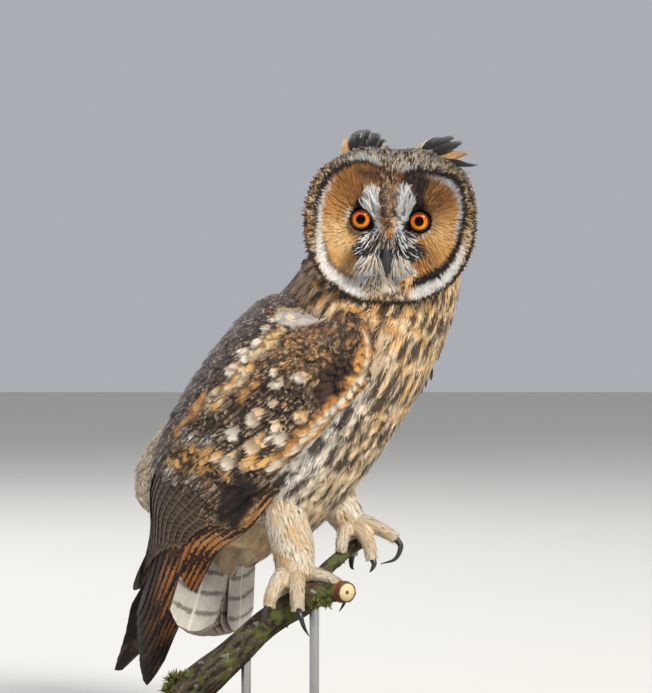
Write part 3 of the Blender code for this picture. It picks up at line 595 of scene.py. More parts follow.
def featherFinish(name, barbRows=30.0, shine=0.62, shaft=0.0, barEdge=0.15, barBend=0.8, barWobble=0.9):
    f = Finish(
        name, {"Roughness": shine, "Sheen Weight": 0.12, "Sheen Roughness": 0.5, "Specular IOR Level": 0.25}
    )
    u, v = f.unwrap("vane")
    off = abs(u - 0.5) * 2.0
    tone, mark, pale = f.attribute("tone"), f.attribute("mark"), f.attribute("pale")
    lines, mottle = f.attribute("lines", ("Color", "Alpha"))
    streak, bars, count = f.channels(lines)
    # the alpha of extra darkens each feather towards its root: painted shade under the feathers that lie over
    # it
    extra, rootShade = f.attribute("extra", ("Color", "Alpha"))
    seed, spot, fringe = f.channels(extra)
    place = f.objectPlace()
    wobble = f.noise(place, 420.0) - 0.5
    fine = f.noise(place, 1700.0, 3.0)
    taper = (v - 0.1).maths("MULTIPLY", 1.9, clamp=True)
    streakMask = (streak * taper * 1.1 - 0.1 - off - wobble * 0.35).above(0.0, 0.09)
    phase = v * count * 20.0 + off * off * barBend + seed * 3.0 * barBend + wobble * barWobble
    barMask = (phase * fullTurn).maths("SINE").above(barEdge, 0.35) * bars
    grainPlace = f.vector(u * 5.5 + seed * 31.0, v * 9.0 + seed * 17.0, seed * 9.0)
    mottleMask = f.noise(grainPlace, 1.3, 3.0).above(0.53, 0.07) * mottle
    cloud = f.noise(place, 430.0, 2.0)
    mottleMask = mottleMask.maths("MAXIMUM", cloud.above(0.6, 0.05) * mottle * 0.7)
    fleckMask = (1.0 - cloud).above(0.61, 0.06) * (mottle - 0.3).maths("MULTIPLY", 0.9, clamp=True)
    spotAcross = (u - 0.5) / 0.3
    spotAlong = (v - 0.84) / 0.125
    spotMask = (
        (1.0 - spotAcross * spotAcross - spotAlong * spotAlong + wobble * 0.8).above(0.05, 0.25) * spot
    )
    edgeMask = (
        (off + wobble * 0.3).above(0.84, 0.12).maths("MAXIMUM", (v + wobble * 0.08).above(0.93, 0.05))
        * fringe
    )
    colour = f.mix(mottleMask, tone, mark)
    layers = ((fleckMask, pale), (barMask, mark), (streakMask, mark), (spotMask, pale), (edgeMask, pale))
    for mask, layer in layers:
        colour = f.mix(mask, colour, layer)
    if shaft:
        colour = f.mix((1.0 - off).above(0.95, 0.02) * shaft, colour, pale)
    barb = ((v * barbRows + off * barbRows * 0.22) * fullTurn).maths("SINE")
    # each feather is painted darker towards its root: painted shade where the feathers overlap
    shade = 0.8 + fine * 0.36 + barb * 0.05 - rootShade * (1.0 - v).above(0.55, 0.35)
    f.colour(f.mix(1.0, colour, f.grey(shade), "MULTIPLY"))
    f.bump(barb * 0.5 + fine, 0.00025, 0.7)
    return f.material


def smooth(value, low, high):
    t = clip((value - low) / (high - low), 0, 1)
    return t * t * (3 - 2 * t)


def blend(first, second, factor):
    factor = np.asarray(factor)[..., None]
    return np.asarray(first) * (1 - factor) + np.asarray(second) * factor


def look(
    n, dice, tone, mark, pale=None, streak=0.0, bars=0.0, count=6.0, mottle=0.0, spot=0.0, fringe=0.0,
    rootShade=0.25, jitter=0.1
):
    ones = np.ones(n)
    light = 1 + dice.uniform(-jitter, jitter, (n, 1))
    pale = colours["cream"] if pale is None else pale
    return {
        "tone": np.broadcast_to(tone, (n, 3)) * light,
        "mark": np.broadcast_to(mark, (n, 3)) * light,
        "pale": np.broadcast_to(pale, (n, 3)) * light,
        "lines": column_stack([ones * streak, ones * bars, ones * count / 20, ones * mottle]),
        # the last value of extra is the painted shade at each feather's root
        "extra": column_stack([dice.uniform(0, 1, n), ones * spot, ones * fringe, ones * rootShade]),
    }


def some(looks, pick):
    return {kind: values[pick] for kind, values in looks.items()}


def rowsOver(surface, aStart, aEnd, bStart, bEnd, rowGap, gap, dice, jitter=0.22):
    # staggered roots in rows across a surface, evenly spaced on it
    middle = (bStart + bEnd) / 2
    walk = surface(linspace(aStart, aEnd, 40), full(40, middle), 0.0)
    rows = max(int(np.linalg.norm(np.diff(walk, axis=0), axis=1).sum() / rowGap), 1)
    places = []
    for i in range(rows + 1):
        a = aStart + (aEnd - aStart) * i / rows
        b = linspace(bStart, bEnd, 60)
        ring = surface(full(60, a), b, 0.0)
        steps = concatenate([[0], np.cumsum(np.linalg.norm(np.diff(ring, axis=0), axis=1))])
        count = max(int(steps[-1] / gap), 2)
        wanted = (arange(count) + 0.5 * (i % 2) + dice.uniform(-jitter, jitter, count)) / count * steps[-1]
        bs = interp(wanted, steps, b)
        aStep = (aEnd - aStart) / rows
        places.append(column_stack([a + aStep * dice.uniform(-jitter, jitter, count), bs]))
    return concatenate(places).T


def lay(surface, a, b, drift, length, low, high, steps=5, rise=0.7, way=1):
    # middle lines and normals of feathers that start at (a, b) and lie along the surface
    aimA, aimB = way * cos(drift), sin(drift)
    h = 1e-3
    paceA = np.linalg.norm(surface(a + h, b) - surface(a - h, b), axis=-1) / (2 * h)
    paceB = np.linalg.norm(surface(a, b + h) - surface(a, b - h), axis=-1) / (2 * h)
    s = linspace(0, 1, steps)[None]
    run = np.broadcast_to(length, a.shape)[:, None] * s
    aa = clip(a[:, None] + (aimA / maximum(paceA, 0.04))[:, None] * run, -0.05, 1.06)
    bb = b[:, None] + (aimB / maximum(paceB, 0.004))[:, None] * run
    low = np.broadcast_to(low, a.shape)[:, None]
    high = np.broadcast_to(high, a.shape)[:, None]
    return surface(aa, bb, low + (high - low) * s**rise), surfaceNormal(surface, aa, bb)


def chart(a, b, box, aSpan=(0, 1), bSpan=(0, 1)):
    # the place on the unwrap of the skin: each part of the body has its own box there
    x = box[0] + (box[2] - box[0]) * clip((b - bSpan[0]) / (bSpan[1] - bSpan[0]), 0, 1)
    y = box[1] + (box[3] - box[1]) * clip((a - aSpan[0]) / (aSpan[1] - aSpan[0]), 0, 1)
    return column_stack([x, y])


def cells(n, box):
    # a cell of its own on the unwrap for each of a few large feathers
    across = max(int(math.sqrt(n * 2.5)), 1)
    down = int(math.ceil(n / across))
    k = arange(n)
    x = box[0] + (box[2] - box[0]) * ((k % across) + 0.5) / across
    y = box[1] + (box[3] - box[1]) * ((k // across) + 0.5) / down
    return column_stack([x, y]), ((box[2] - box[0]) / across * 0.9, (box[3] - box[1]) / down * 0.9)


# Skin under the coat

skin = {"voxel": 0.0022, "smoothing": 6, "low": srgb(240, 218, 180)}


def tubeFaces(rings, sides, closed=True):
    # faces between the rings of a tube; the middle points of its two ends come after the last ring
    after = (arange(sides) + 1) % sides
    faces = []
    for i in range(rings - 1):
        faces += [
            (i * sides + j, i * sides + k, (i + 1) * sides + k, (i + 1) * sides + j)
            for j, k in enumerate(after)
        ]
    last = rings * sides
    for j, k in enumerate(after if closed else ()):
        faces += [(last, k, j), (last + 1, last - sides + j, last - sides + k)]
    return faces


def shellMesh(name, surface, aValues, bCount, lift):
    b = linspace(0, 2 * math.pi, bCount, endpoint=False)
    aa, bb = np.meshgrid(aValues, b, indexing="ij")
    points = surface(aa, bb, lift)
    ends = array([points[0].mean(0), points[-1].mean(0)])
    return meshFrom(name, np.vstack([points.reshape(-1, 3), ends]), tubeFaces(len(aValues), bCount))


def meshFrom(name, points, faces):
    mesh = bpy.data.meshes.new(name)
    mesh.from_pydata([tuple(map(float, p)) for p in points], [], [tuple(map(int, f)) for f in faces])
    shape = bmesh.new()
    shape.from_mesh(mesh)
    bmesh.ops.recalc_face_normals(shape, faces=shape.faces)
    shape.to_mesh(mesh)
    shape.free()
    mesh.shade_smooth()
    obj = bpy.data.objects.new(name, mesh)
    bpy.context.scene.collection.objects.link(obj)
    return obj


def headAll(a, turn, lift=0.0):
    # the whole head: a from 0 in the middle of the face to 1 at its rim and 2 at the nape
    a = np.asarray(a, float)
    share = clip(a, 0.0, 1.0)
    r = discRadius(turn) * share
    x, z = r * cos(turn), r * sin(turn)
    front = headPoint(x, z, faceForward(x, z, share) + lift)
    return where((a > 1)[..., None], headSurface(a - 1, turn, lift), front)


def wingShell(sign):
    outer = wingSurface(sign)

    def surface(along, around, lift=0.0):
        # the folded wing as a flat tube, its outer side for the first half turn
        across = 0.5 - 0.5 * cos(around)
        depth = where(sin(around) > 0, 0.0, -0.006)
        return outer(along, 0.02 + 0.96 * across, depth + lift)

    return surface


def choose(*objs):
    bpy.ops.object.select_all(action="DESELECT")
    for obj in objs:
        obj.select_set(True)
    bpy.context.view_layer.objects.active = objs[0]


def joined(name, objs):
    choose(*objs)
    bpy.ops.object.join()
    objs[0].name = name
    return objs[0]


def applyModifier(obj, kind, **settings):
    modifier = obj.modifiers.new(kind.lower(), kind)
    for key, value in settings.items():
        setattr(modifier, key, value)
    bpy.ops.object.modifier_apply(modifier=modifier.name)


def makeSkin():
    depth = trunk["coatDepth"]
    shapes = [
        shellMesh("skin", trunkSurface, linspace(0, 1, 30), 40, -depth),
        shellMesh(
            "rumpSkin", tubeSurface(rump["path"], rump["radii"], flat=True), linspace(0, 1, 14), 20, -0.002
        ),
        shellMesh(
            "headSkin", headAll, concatenate([linspace(0.03, 0.99, 16), linspace(1.02, 1.97, 14)]), 48,
            -0.0022
        ),
    ]
    for sign in (-1, 1):
        shapes.append(shellMesh("wingSkin", wingShell(sign), linspace(0.03, 0.6, 16), 28, -0.0035))
    for leg in ("right", "left"):
        shapes.append(
            shellMesh(
                "legSkin", tubeSurface(legs[leg]["path"], legs[leg]["radii"]), linspace(0, 1, 12), 18,
                -0.0028
            )
        )
        for surface in toeTubes(leg):
            shapes.append(shellMesh("toeSkin", surface, linspace(0, 1, 10), 14, -0.0004))
    obj = joined("skin", shapes)
    applyModifier(obj, "REMESH", mode="VOXEL", voxel_size=skin["voxel"])
    applyModifier(obj, "SMOOTH", iterations=skin["smoothing"])
    obj.data.shade_smooth()
    return obj


def ripple(x, y, size, seed):
    # an even, repeatable unrest between -1 and 1
    a, b = x / size, y / size
    return (
        (
            sin(a * 1.7 + 2.3 * sin(b * 1.3 + seed)) + sin(b * 2.1 - 1.9 * sin(a * 1.1 + seed * 1.7))
            + sin((a + b) * 1.37 + seed * 3.1)
        )
        / 3
    )


def gauss(value, middle, width):
    return exp(-(((value - middle) / width) ** 2))


def headPlace(points):
    q = points - headMiddle
    return q @ side, q @ crown, q @ face


def trunkPlace(points):
    # the nearest section of the trunk, the turn round it and the distance out, 1 at its surface
    ts = linspace(0, 1, 80)
    rows = curveThrough(trunk["rows"], ts)
    centres = rows[:, 0:1] * forward + rows[:, 1:2] * up
    pick = array([np.argmin(((centres - p) ** 2).sum(1)) for p in points])
    ahead = np.gradient(centres, axis=0)
    fronts = unit(np.cross(left, unit(ahead)))
    fronts = where((fronts @ forward)[:, None] < 0, -fronts, fronts)
    d = points - centres[pick]
    out = np.sum(d * fronts[pick], axis=1) / rows[pick, 2]
    over = (d @ left) / rows[pick, 3]
    return ts[pick], arctan2(over, out), hypot(out, over)


# Facial disc

faceTones = {
    "gold": srgb(228, 172, 102),
    # a paler gold, painted as highlights on the outer cheeks
    "highlightGold": srgb(250, 212, 154),
    "ochre": srgb(184, 122, 60),
    "umber": srgb(98, 62, 32),
    "cocoa": srgb(62, 42, 30),
    "black": srgb(22, 18, 18),
    "slate": srgb(96, 94, 98),
    "white": srgb(240, 238, 234),
    "blueWhite": srgb(204, 208, 212),
    "cream": srgb(238, 220, 190),
    "rust": srgb(172, 98, 44),
    "drab": srgb(136, 112, 84),
    "buff": srgb(212, 180, 136),
}

# markings of the disc in millimetres from its middle, with two painted highlights on the outer cheeks:
# outline, softness, strength, and the tones drawn among
faceMarks = (
    (((-34, 34), (-36, 22), (-26, 13), (-14, 16), (-6, 28), (-10, 36), (-24, 38)), 6.0, 0.5, "umber"),
    (((-22, 36), (-5, 35), (-3, 27), (-8, 26), (-15, 28), (-21, 31)), 2.6, 0.8, "umber cocoa black"),
    (((4, 34), (12, 10), (24, 9), (37, 13), (40, 24), (32, 31), (18, 35)), 5.0, 0.78, "umber umber ochre"),
    (((12, -13), (26, -12), (30, -20), (22, -31), (12, -30)), 4.0, 0.62, "umber ochre"),
    # a painted highlight beside and below the owl's right eye
    (((-38, 3), (-28, 3), (-24, -8), (-28, -18), (-36, -12), (-40, -4)), 5.0, 0.75, "highlightGold"),
    (((-25, -22), (-15, -20), (-16, -31), (-24, -33), (-30, -27)), 3.0, 0.45, "cream gold slate"),
    # a painted highlight beside and below the owl's left eye
    (((24, 5), (36, 4), (36, -8), (26, -10)), 5.0, 0.5, "highlightGold"),
    (
        (
            (-27.5, 9.5), (-22, 12.0), (-24.5, 8.0), (-25.5, 0), (-21, -4.0), (-13, -5.6), (-13, -3.2),
            (-22, -1), (-27.5, 2)
        ),
        0.9, 0.85, "cream white"
    ),
    (
        (
            (17, 11.4), (23, 9.0), (25.5, 4), (25, -1), (20, -5.4), (12, -6.2), (12, -4), (20, -2), (24, 2),
            (22, 8)
        ),
        0.9, 0.8, "cream blueWhite"
    ),
    (
        ((-24.5, 8.2), (-22.5, 14), (-18.5, 18), (-13, 13.5), (-10.5, 8), (-12, 8.5), (-17, 9.5)), 1.2, 1.0,
        "black"
    ),
    (((-18.0, 24.5), (-14.5, 25), (-14.8, 19), (-18.2, 20)), 1.2, 0.85, "black"),
    (
        (
            (4.0, 26), (8, 32.5), (20, 33), (24.5, 28), (20.5, 20), (22, 11), (13, 9.0), (9.2, 4),
            (11.8, 13), (13.8, 19), (10.5, 25.5)
        ),
        1.9, 1.0, "black black cocoa"
    ),
    (((-12.5, 9.5), (-9.3, 3.5), (-7.8, -2), (-9.8, -4.6), (-14.5, -3.6), (-11.8, 3)), 0.8, 1.0, "black"),
    (((11.0, 9.5), (7.9, 3), (6.6, -3), (8.8, -5.2), (13.8, -4.0), (10.7, 3)), 0.8, 1.0, "black"),
    (
        (
            (-8.3, 42), (-8.4, 24), (-7.8, 15), (-6.4, 8), (-4.5, 3), (-3.0, -1.5), (1.4, -1.5), (3.0, 3),
            (4.3, 8), (3.6, 15), (3.2, 24), (5, 31), (5.5, 42)
        ),
        0.9, 1.0, "drab cocoa cocoa rust buff black"
    ),
    (((-4.5, 26), (-5, 17), (-3.0, 9), (0.5, 9), (1.2, 17), (0.5, 26)), 1.2, 0.75, "black slate drab buff"),
    (((-3.4, 42), (-3.4, 27), (1.6, 27), (1.6, 42)), 0.8, 0.7, "black cocoa buff"),
    (
        (
            (-17.2, 22.0), (-14.5, 25.0), (-8.4, 24.6), (-8.0, 16), (-6.9, 8), (-5.4, 2), (-3.4, -2),
            (-7.4, -3.8), (-9.1, 0), (-10.1, 5), (-13.2, 11), (-19.0, 17.5), (-15.6, 18.0)
        ),
        0.7, 1.0, "white white blueWhite"
    ),
    (
        (
            (3.4, 22), (5.8, 26.5), (9.5, 27), (10.6, 24.4), (15.0, 20.2), (12.6, 15), (10.1, 8), (8.0, 2),
            (6.6, -3.2), (2.6, -3), (3.9, 2), (4.4, 8), (3.6, 15)
        ),
        0.7, 1.0, "blueWhite blueWhite white slate"
    ),
    (
        ((-22, -11.5), (-12, -9), (-5, -11), (-4, -19), (-9, -21), (-16, -20), (-21, -17)), 2.0, 0.95,
        "black black cocoa blueWhite umber"
    ),
    (
        ((4, -9), (12, -8.5), (21, -10), (24, -16), (16, -20), (5, -20)), 2.0, 0.95,
        "black cocoa black blueWhite umber"
    ),
    (
        ((-8.5, -2), (-6.5, -4.5), (-11, -10.5), (-18, -14.5), (-20.5, -12), (-15, -6.5)), 0.8, 1.0,
        "black white blueWhite"
    ),
    (
        ((3.8, -2), (8, -3.5), (14, -9), (17, -13), (12.5, -14.5), (6.5, -11)), 0.8, 1.0,
        "blueWhite white slate"
    ),
    (((-17, -21), (-5, -19.5), (-3, -26), (-3, -35), (-12, -38), (-19, -34), (-20, -27)), 2.2, 1.0, "white"),
    (
        ((3, -20.5), (12, -20), (16, -27), (14, -34), (6, -37), (2, -30)), 2.2, 0.95,
        "blueWhite blueWhite white slate"
    ),
    (((-9, -29), (3.5, -29), (5, -40), (-10, -40)), 2.2, 0.85, "cream white"),
    (
        ((-15, -38.5), (-4, -40), (8, -37), (13, -41), (13, -47), (-16, -47)), 1.4, 0.95,
        "black cocoa cream drab"
    ),
    (((-1.2, -2.5), (4.0, -3), (3.6, -8.5), (-0.6, -9)), 0.8, 0.95, "rust"),
    (((-5.2, -3), (-1.8, -3), (-2.2, -9), (-4.8, -8)), 0.8, 0.85, "gold drab"),
)

# rings of the rim by the angle up from the owl's left side: inner and outer share of the disc, and strength
rimRings = {
    "black": (
        (0, 0.805, 0.885, 1.2), (25, 0.872, 0.942, 1.2), (40, 0.855, 0.955, 1.2), (60, 0.745, 0.825, 1.2),
        (75, 0.665, 0.755, 1.2), (84, 0.66, 0.7, 0), (94, 0.7, 0.75, 0.3), (105, 0.77, 0.83, 1.0),
        (120, 0.86, 0.915, 1.2), (135, 0.865, 0.935, 1.2), (150, 0.85, 0.92, 1.2), (180, 0.858, 0.905, 1.0),
        (195, 0.9, 0.94, 0.5), (205, 0.95, 0.97, 0), (284, 0.74, 0.8, 0), (294, 0.7, 0.83, 1.1),
        (315, 0.73, 0.87, 1.2), (330, 0.765, 0.865, 1.2), (345, 0.79, 0.87, 1.2), (360, 0.805, 0.885, 1.2)
    ),
    "slate": (
        (185, 0.76, 0.79, 0), (195, 0.785, 0.825, 0.7), (215, 0.8, 0.87, 0.85), (232, 0.77, 0.83, 0.7),
        (244, 0.77, 0.8, 0)
    ),
    "white": (
        (135, 0.83, 0.86, 0), (150, 0.81, 0.85, 0.7), (165, 0.81, 0.858, 0.9), (180, 0.8, 0.858, 1),
        (190, 0.81, 0.885, 1), (200, 0.83, 0.925, 1), (215, 0.865, 0.972, 1), (230, 0.83, 0.965, 1),
        (245, 0.8, 0.965, 1), (254, 0.82, 0.96, 0.6), (262, 0.86, 0.96, 0), (286, 0.88, 0.96, 0),
        (291, 0.84, 0.98, 0.9), (300, 0.83, 0.982, 1), (315, 0.868, 0.982, 1), (330, 0.865, 0.965, 1),
        (345, 0.87, 0.95, 0.8), (356, 0.885, 0.93, 0)
    ),
    "blueWhite": (
        (0, 0.77, 0.815, 0.8), (25, 0.838, 0.882, 0.9), (40, 0.8, 0.865, 0.9), (54, 0.74, 0.79, 0.2),
        (60, 0.74, 0.77, 0), (66, 0.78, 0.8, 0), (72, 0.765, 0.81, 0.9), (80, 0.75, 0.8, 0.8),
        (86, 0.77, 0.8, 0), (98, 0.82, 0.84, 0), (104, 0.83, 0.92, 1), (116, 0.91, 0.97, 0.9),
        (126, 0.94, 0.98, 0), (345, 0.75, 0.79, 0), (360, 0.77, 0.815, 0.8)
    ),
}


def zone(x, z, outline, soft):
    # 1 inside a drawn outline, fading to 0 outside it
    inside, gap = np.zeros(x.shape, bool), full(x.shape, 99.0)
    corners = array(outline, float)
    for p, q in zip(corners, np.roll(corners, -1, axis=0)):
        t = clip(((x - p[0]) * (q[0] - p[0]) + (z - p[1]) * (q[1] - p[1])) / ((q - p) ** 2).sum(), 0, 1)
        gap = minimum(gap, hypot(x - p[0] - t * (q[0] - p[0]), z - p[1] - t * (q[1] - p[1])))
        rise = q[1] - p[1] if q[1] != p[1] else 1e-9
        inside ^= ((p[1] > z) != (q[1] > z)) & (x < p[0] + (z - p[1]) * (q[0] - p[0]) / rise)
    return smooth(where(inside, gap, -gap), -soft, soft)


def speckle(x, z, size, seed):
    # a draw of 0 to 1 for each small cell of the surface
    value = (
        sin(
            np.floor(x / size + 0.3 * sin(z / size)) * 127.1
            + np.floor(z / size + 0.3 * sin(x / size)) * 311.7 + seed
        )
        * 43758.5453
    )
    return value - np.floor(value)


def drawn(tones, draw):
    table = array([faceTones[name] for name in tones.split()])
    return table[minimum((draw * len(table)).astype(int), len(table) - 1)]


def faceTone(x, z, pick):
    # the colour at a place on the disc, in millimetres; pick is a draw of 0 to 1 for each feather
    f = faceTones
    angle = np.degrees(arctan2(z, x)) % 360
    share = discShare(x / 1000, z / 1000)
    dots = speckle(x, z, 0.9, 3.0)
    tone = blend(f["gold"], f["ochre"], smooth(z, -6, 22) * 0.7 + 0.3 * pick)
    for outline, soft, strength, tones in faceMarks:
        draw = dots if len(tones.split()) > 3 else pick
        tone = blend(tone, drawn(tones, draw), strength * zone(x, z, outline, soft))
    ringed = hypot(np.abs(x) - eye["spread"] * 1000, z - eye["rise"] * 1000)
    tone = blend(tone, f["black"], 1 - smooth(ringed, 6.9, 7.6))
    # outside the rings the rim is speckled: gold at the sides, grey over the crown
    crownward = gauss(angle, 90, 48)
    sides = drawn("cocoa gold black cream umber", dots)
    top = drawn("blueWhite cream black drab cream cocoa", speckle(x, z, 0.8, 9.0))
    edge = interp(
        angle, (0, 25, 40, 60, 75, 90, 105, 120, 135, 150, 180, 200, 215, 260, 290, 315, 345, 360),
        (
            0.885, 0.938, 0.95, 0.82, 0.755, 0.8, 0.83, 0.91, 0.93, 0.905, 0.9, 0.925, 0.97, 0.93, 0.98,
            0.98, 0.95, 0.885
        )
    )
    outer = smooth(share, edge - 0.012, edge + 0.012)
    tone = blend(tone, blend(sides, top, smooth(crownward, 0.3, 0.6)), outer)
    for name, rows in rimRings.items():
        stops, low, high, strength = array(rows).T
        low, high = interp(angle, stops, low), interp(angle, stops, high)
        strength = interp(angle, stops, strength, left=strength[0], right=strength[-1])
        ring = smooth(share, low - 0.012, low + 0.012) * (1 - smooth(share, high - 0.01, high + 0.01))
        frayed = clip(strength + 0.25 * (dots - 0.6), 0, 1) * (strength > 0)
        tone = blend(tone, f[name], ring * frayed)
    # the outermost edge of the disc is painted black, most along its lower half: partly its own thin black
    # edge, partly painted shadow where the disc stands over the neck
    rim = (
        smooth(share, 0.972, 0.99)
        * interp(angle, (0, 20, 60, 150, 190, 205, 340, 360), (0.7, 0.3, 0.2, 0.3, 0.6, 1, 1, 0.7))
    )
    return blend(tone, f["black"], rim)


disc = {
    "gap": 0.00088,
    "strandHalf": 0.00034,
    "strandLength": 0.0085,
    "lift": 0.0011,
    "reach": 0.054,
    "box": (0.02, 0.7, 0.3, 0.98),
}


def faceAim(x, z):
    # the way the disc's feathers lie: away from both eyes, and up or down in the middle
    aimX, aimZ = np.zeros_like(x), np.zeros_like(z)
    for s in (-1, 1):
        dx, dz = x - s * eye["spread"], z - eye["rise"]
        weight = 1 / (dx**2 + dz**2 + 1e-6)
        aimX += dx * weight
        aimZ += dz * weight
    aimZ += where(z > -0.002, 30.0, -60.0) * gauss(x, 0, 0.006)
    size = maximum(hypot(aimX, aimZ), 1e-6)
    return aimX / size, aimZ / size


def faceBake(x, z):
    box = disc["box"]
    return column_stack(
        [box[0] + (x / 0.11 + 0.5) * (box[2] - box[0]), box[1] + (z / 0.11 + 0.5) * (box[3] - box[1])]
    )


def openEye(x, z):
    # how far a place is inside the lids, 1 at their edge
    dx, dz = np.abs(x) - eye["spread"], z - eye["rise"]
    return hypot(dx / eye["openWidth"], dz / where(dz > 0, eye["openTop"], eye["openWidth"]))


def layFace(coat, x, z, length, half, low, high, dice, steps=5, strips=1, swing=0.1, jitter=0.0005, tip=0.2):
    aimX, aimZ = faceAim(x, z)
    turn = dice.normal(0, swing, x.shape)
    aimX, aimZ = aimX * cos(turn) - aimZ * sin(turn), aimX * sin(turn) + aimZ * cos(turn)
    s = linspace(0, 1, steps)[None]
    xs = x[:, None] + aimX[:, None] * length[:, None] * s
    zs = z[:, None] + aimZ[:, None] * length[:, None] * s
    share = minimum(discShare(xs, zs), 1.04)
    lift = low + (high[:, None] - low) * s**0.8
    centre = headPoint(xs, zs, faceForward(xs, zs, share) + lift)
    normal = np.broadcast_to(face, centre.shape)
    n = len(x)
    shiftX, shiftZ, pick = dice.normal(0, jitter, n), dice.normal(0, jitter, n), dice.uniform(0, 1, n)

    def paint(points, which):
        px, pz, _ = headPlace(points)
        return faceTone((px + shiftX[which]) * 1000, (pz + shiftZ[which]) * 1000, pick[which])

    plain = look(n, dice, colours["painted"], colours["black"], rootShade=0.18, jitter=0.16)
    coat.add(
        centre, normal, half, plain, faceBake(x, z), strips=strips, tip=0.2 if tip < 0.5 else 0.05, cup=0.2,
        rootWidth=0.7, sharp=tip < 0.5, seed=int(dice.integers(1e6)), paint=paint
    )


ruffRows = {
    "count": 400, "length": 0.0052, "half": 0.00062, "lift": 0.0007,
    "shares": (0.8, 0.825, 0.85, 0.875, 0.9, 0.925, 0.948, 0.968)
}


def makeFace(finish):
    dice = np.random.default_rng(11)
    g = arange(-disc["reach"], disc["reach"] + 0.0001, disc["gap"])
    x, z = [v.ravel() for v in np.meshgrid(g, g)]
    x = x + dice.uniform(-0.5, 0.5, x.shape) * disc["gap"]
    z = z + dice.uniform(-0.5, 0.5, z.shape) * disc["gap"]
    share = discShare(x, z)
    keep = (share < 0.95) & (openEye(x, z) > 0.98)
    keep &= ~((np.abs(x) < 0.0042) & (z < -0.01) & (z > -0.03))
    x, z, share = x[keep], z[keep], share[keep]
    fromEye = hypot(np.abs(x) - eye["spread"], z - eye["rise"])
    length = (
        disc["strandLength"] * clip(fromEye / 0.016, 0.35, 1.0) * (1 - 0.45 * smooth(share, 0.75, 0.95))
        * dice.uniform(0.8, 1.2, len(x))
    )
    nearBill = gauss(x, 0, 0.007) * gauss(z, -0.012, 0.012)
    length *= 1 - 0.35 * nearBill
    high = full(len(x), disc["lift"]) * dice.uniform(0.4, 1.3, len(x)) + 0.0006 * smooth(share, 0.7, 0.9)
    coat = Coat("facialDisc")
    layFace(coat, x, z, length, disc["strandHalf"] * dice.uniform(0.8, 1.3, len(x)), -0.0004, high, dice)
    whiskers(coat, dice)
    coat.build(finish, "plumage")
    # the ruff: rows of short rounded feathers round the rim
    ruff = Coat("ruff")
    count = ruffRows["count"]
    for row, at in enumerate(ruffRows["shares"]):
        turn = (
            linspace(*around, count, endpoint=False) + dice.uniform(-0.006, 0.006, count)
            + row * math.pi / count
        )
        r = discRadius(turn) * (at + dice.uniform(-0.008, 0.008, count))
        reach = minimum(
            ruffRows["length"] * dice.uniform(0.85, 1.1, count),
            discRadius(turn) * (1.004 + 0.006 * dice.uniform(0, 1, count)) - r
        )
        layFace(
            ruff, r * cos(turn), r * sin(turn), reach, full(count, ruffRows["half"]), 0.0001,
            full(count, ruffRows["lift"]), dice, steps=6, swing=0.05, jitter=0.0002, tip=0.9
        )
    ruff.build(finish, "plumage")


whiskerFans = (
    # root and tip across and up in millimetres, their spread, number, lift and tones
    ((-8.0, -2.5), (-16.5, -11.5), (1.8, 3.6), 60, 1.6, "white black blueWhite black cocoa"),
    ((5.6, -2.5), (13.6, -11.5), (1.8, 3.6), 60, 1.6, "blueWhite black white black blueWhite"),
    ((-9.0, -10.0), (-20.0, -16.5), (2.4, 3.4), 90, 0.7, "black cocoa black blueWhite black"),
    ((7.0, -10.0), (20.5, -16.0), (2.4, 3.4), 90, 0.7, "black cocoa black blueWhite black"),
    ((-9.8, 5.0), (-17.0, 18.5), (1.2, 2.2), 30, 2.0, "white"),
    ((9.2, 5.0), (13.6, 20.5), (1.2, 2.0), 30, 2.0, "blueWhite white"),
    ((-7.4, 12.0), (-12.0, 25.0), (1.6, 2.6), 30, 1.6, "white blueWhite"),
    ((7.0, 12.0), (8.6, 27.0), (1.6, 2.4), 30, 1.6, "blueWhite white"),
    ((-2.4, -3.0), (-4.6, -13.5), (0.8, 1.3), 56, 0.7, "cocoa blueWhite drab drab"),
    ((2.4, -3.0), (4.4, -13.5), (0.8, 1.3), 56, 0.7, "cocoa blueWhite black drab"),
    ((-4.2, -8.0), (-6.0, -19.0), (0.7, 1.2), 44, 0.5, "black cocoa blueWhite black"),
    ((4.0, -8.0), (5.6, -19.0), (0.7, 1.2), 44, 0.5, "blueWhite black cocoa black"),
    ((-8.0, -18.0), (-12.0, -31.0), (3.0, 5.4), 150, 0.8, "white cream white blueWhite drab"),
    ((7.6, -18.0), (10.5, -31.0), (2.6, 4.8), 130, 0.8, "blueWhite white drab cream blueWhite"),
    ((-3.5, -28.0), (-3.5, -40.0), (2.6, 5.4), 110, 0.8, "cream white drab cream"),
)


def billFront(x, z):
    # how far out the bill stands, from the middle of the head
    spots = array(bill["upper"])[::-1]
    radii = array(bill["upperRadii"])[::-1]
    r = interp(z, spots[:, 1], radii) * 1.25
    middle = interp(z, spots[:, 1], spots[:, 2])
    on = (z > spots[0, 1]) & (z < spots[-1, 1])
    return where(on, middle + 1.25 * sqrt(maximum(r**2 - x**2, 0)) * (np.abs(x) < r), 0)


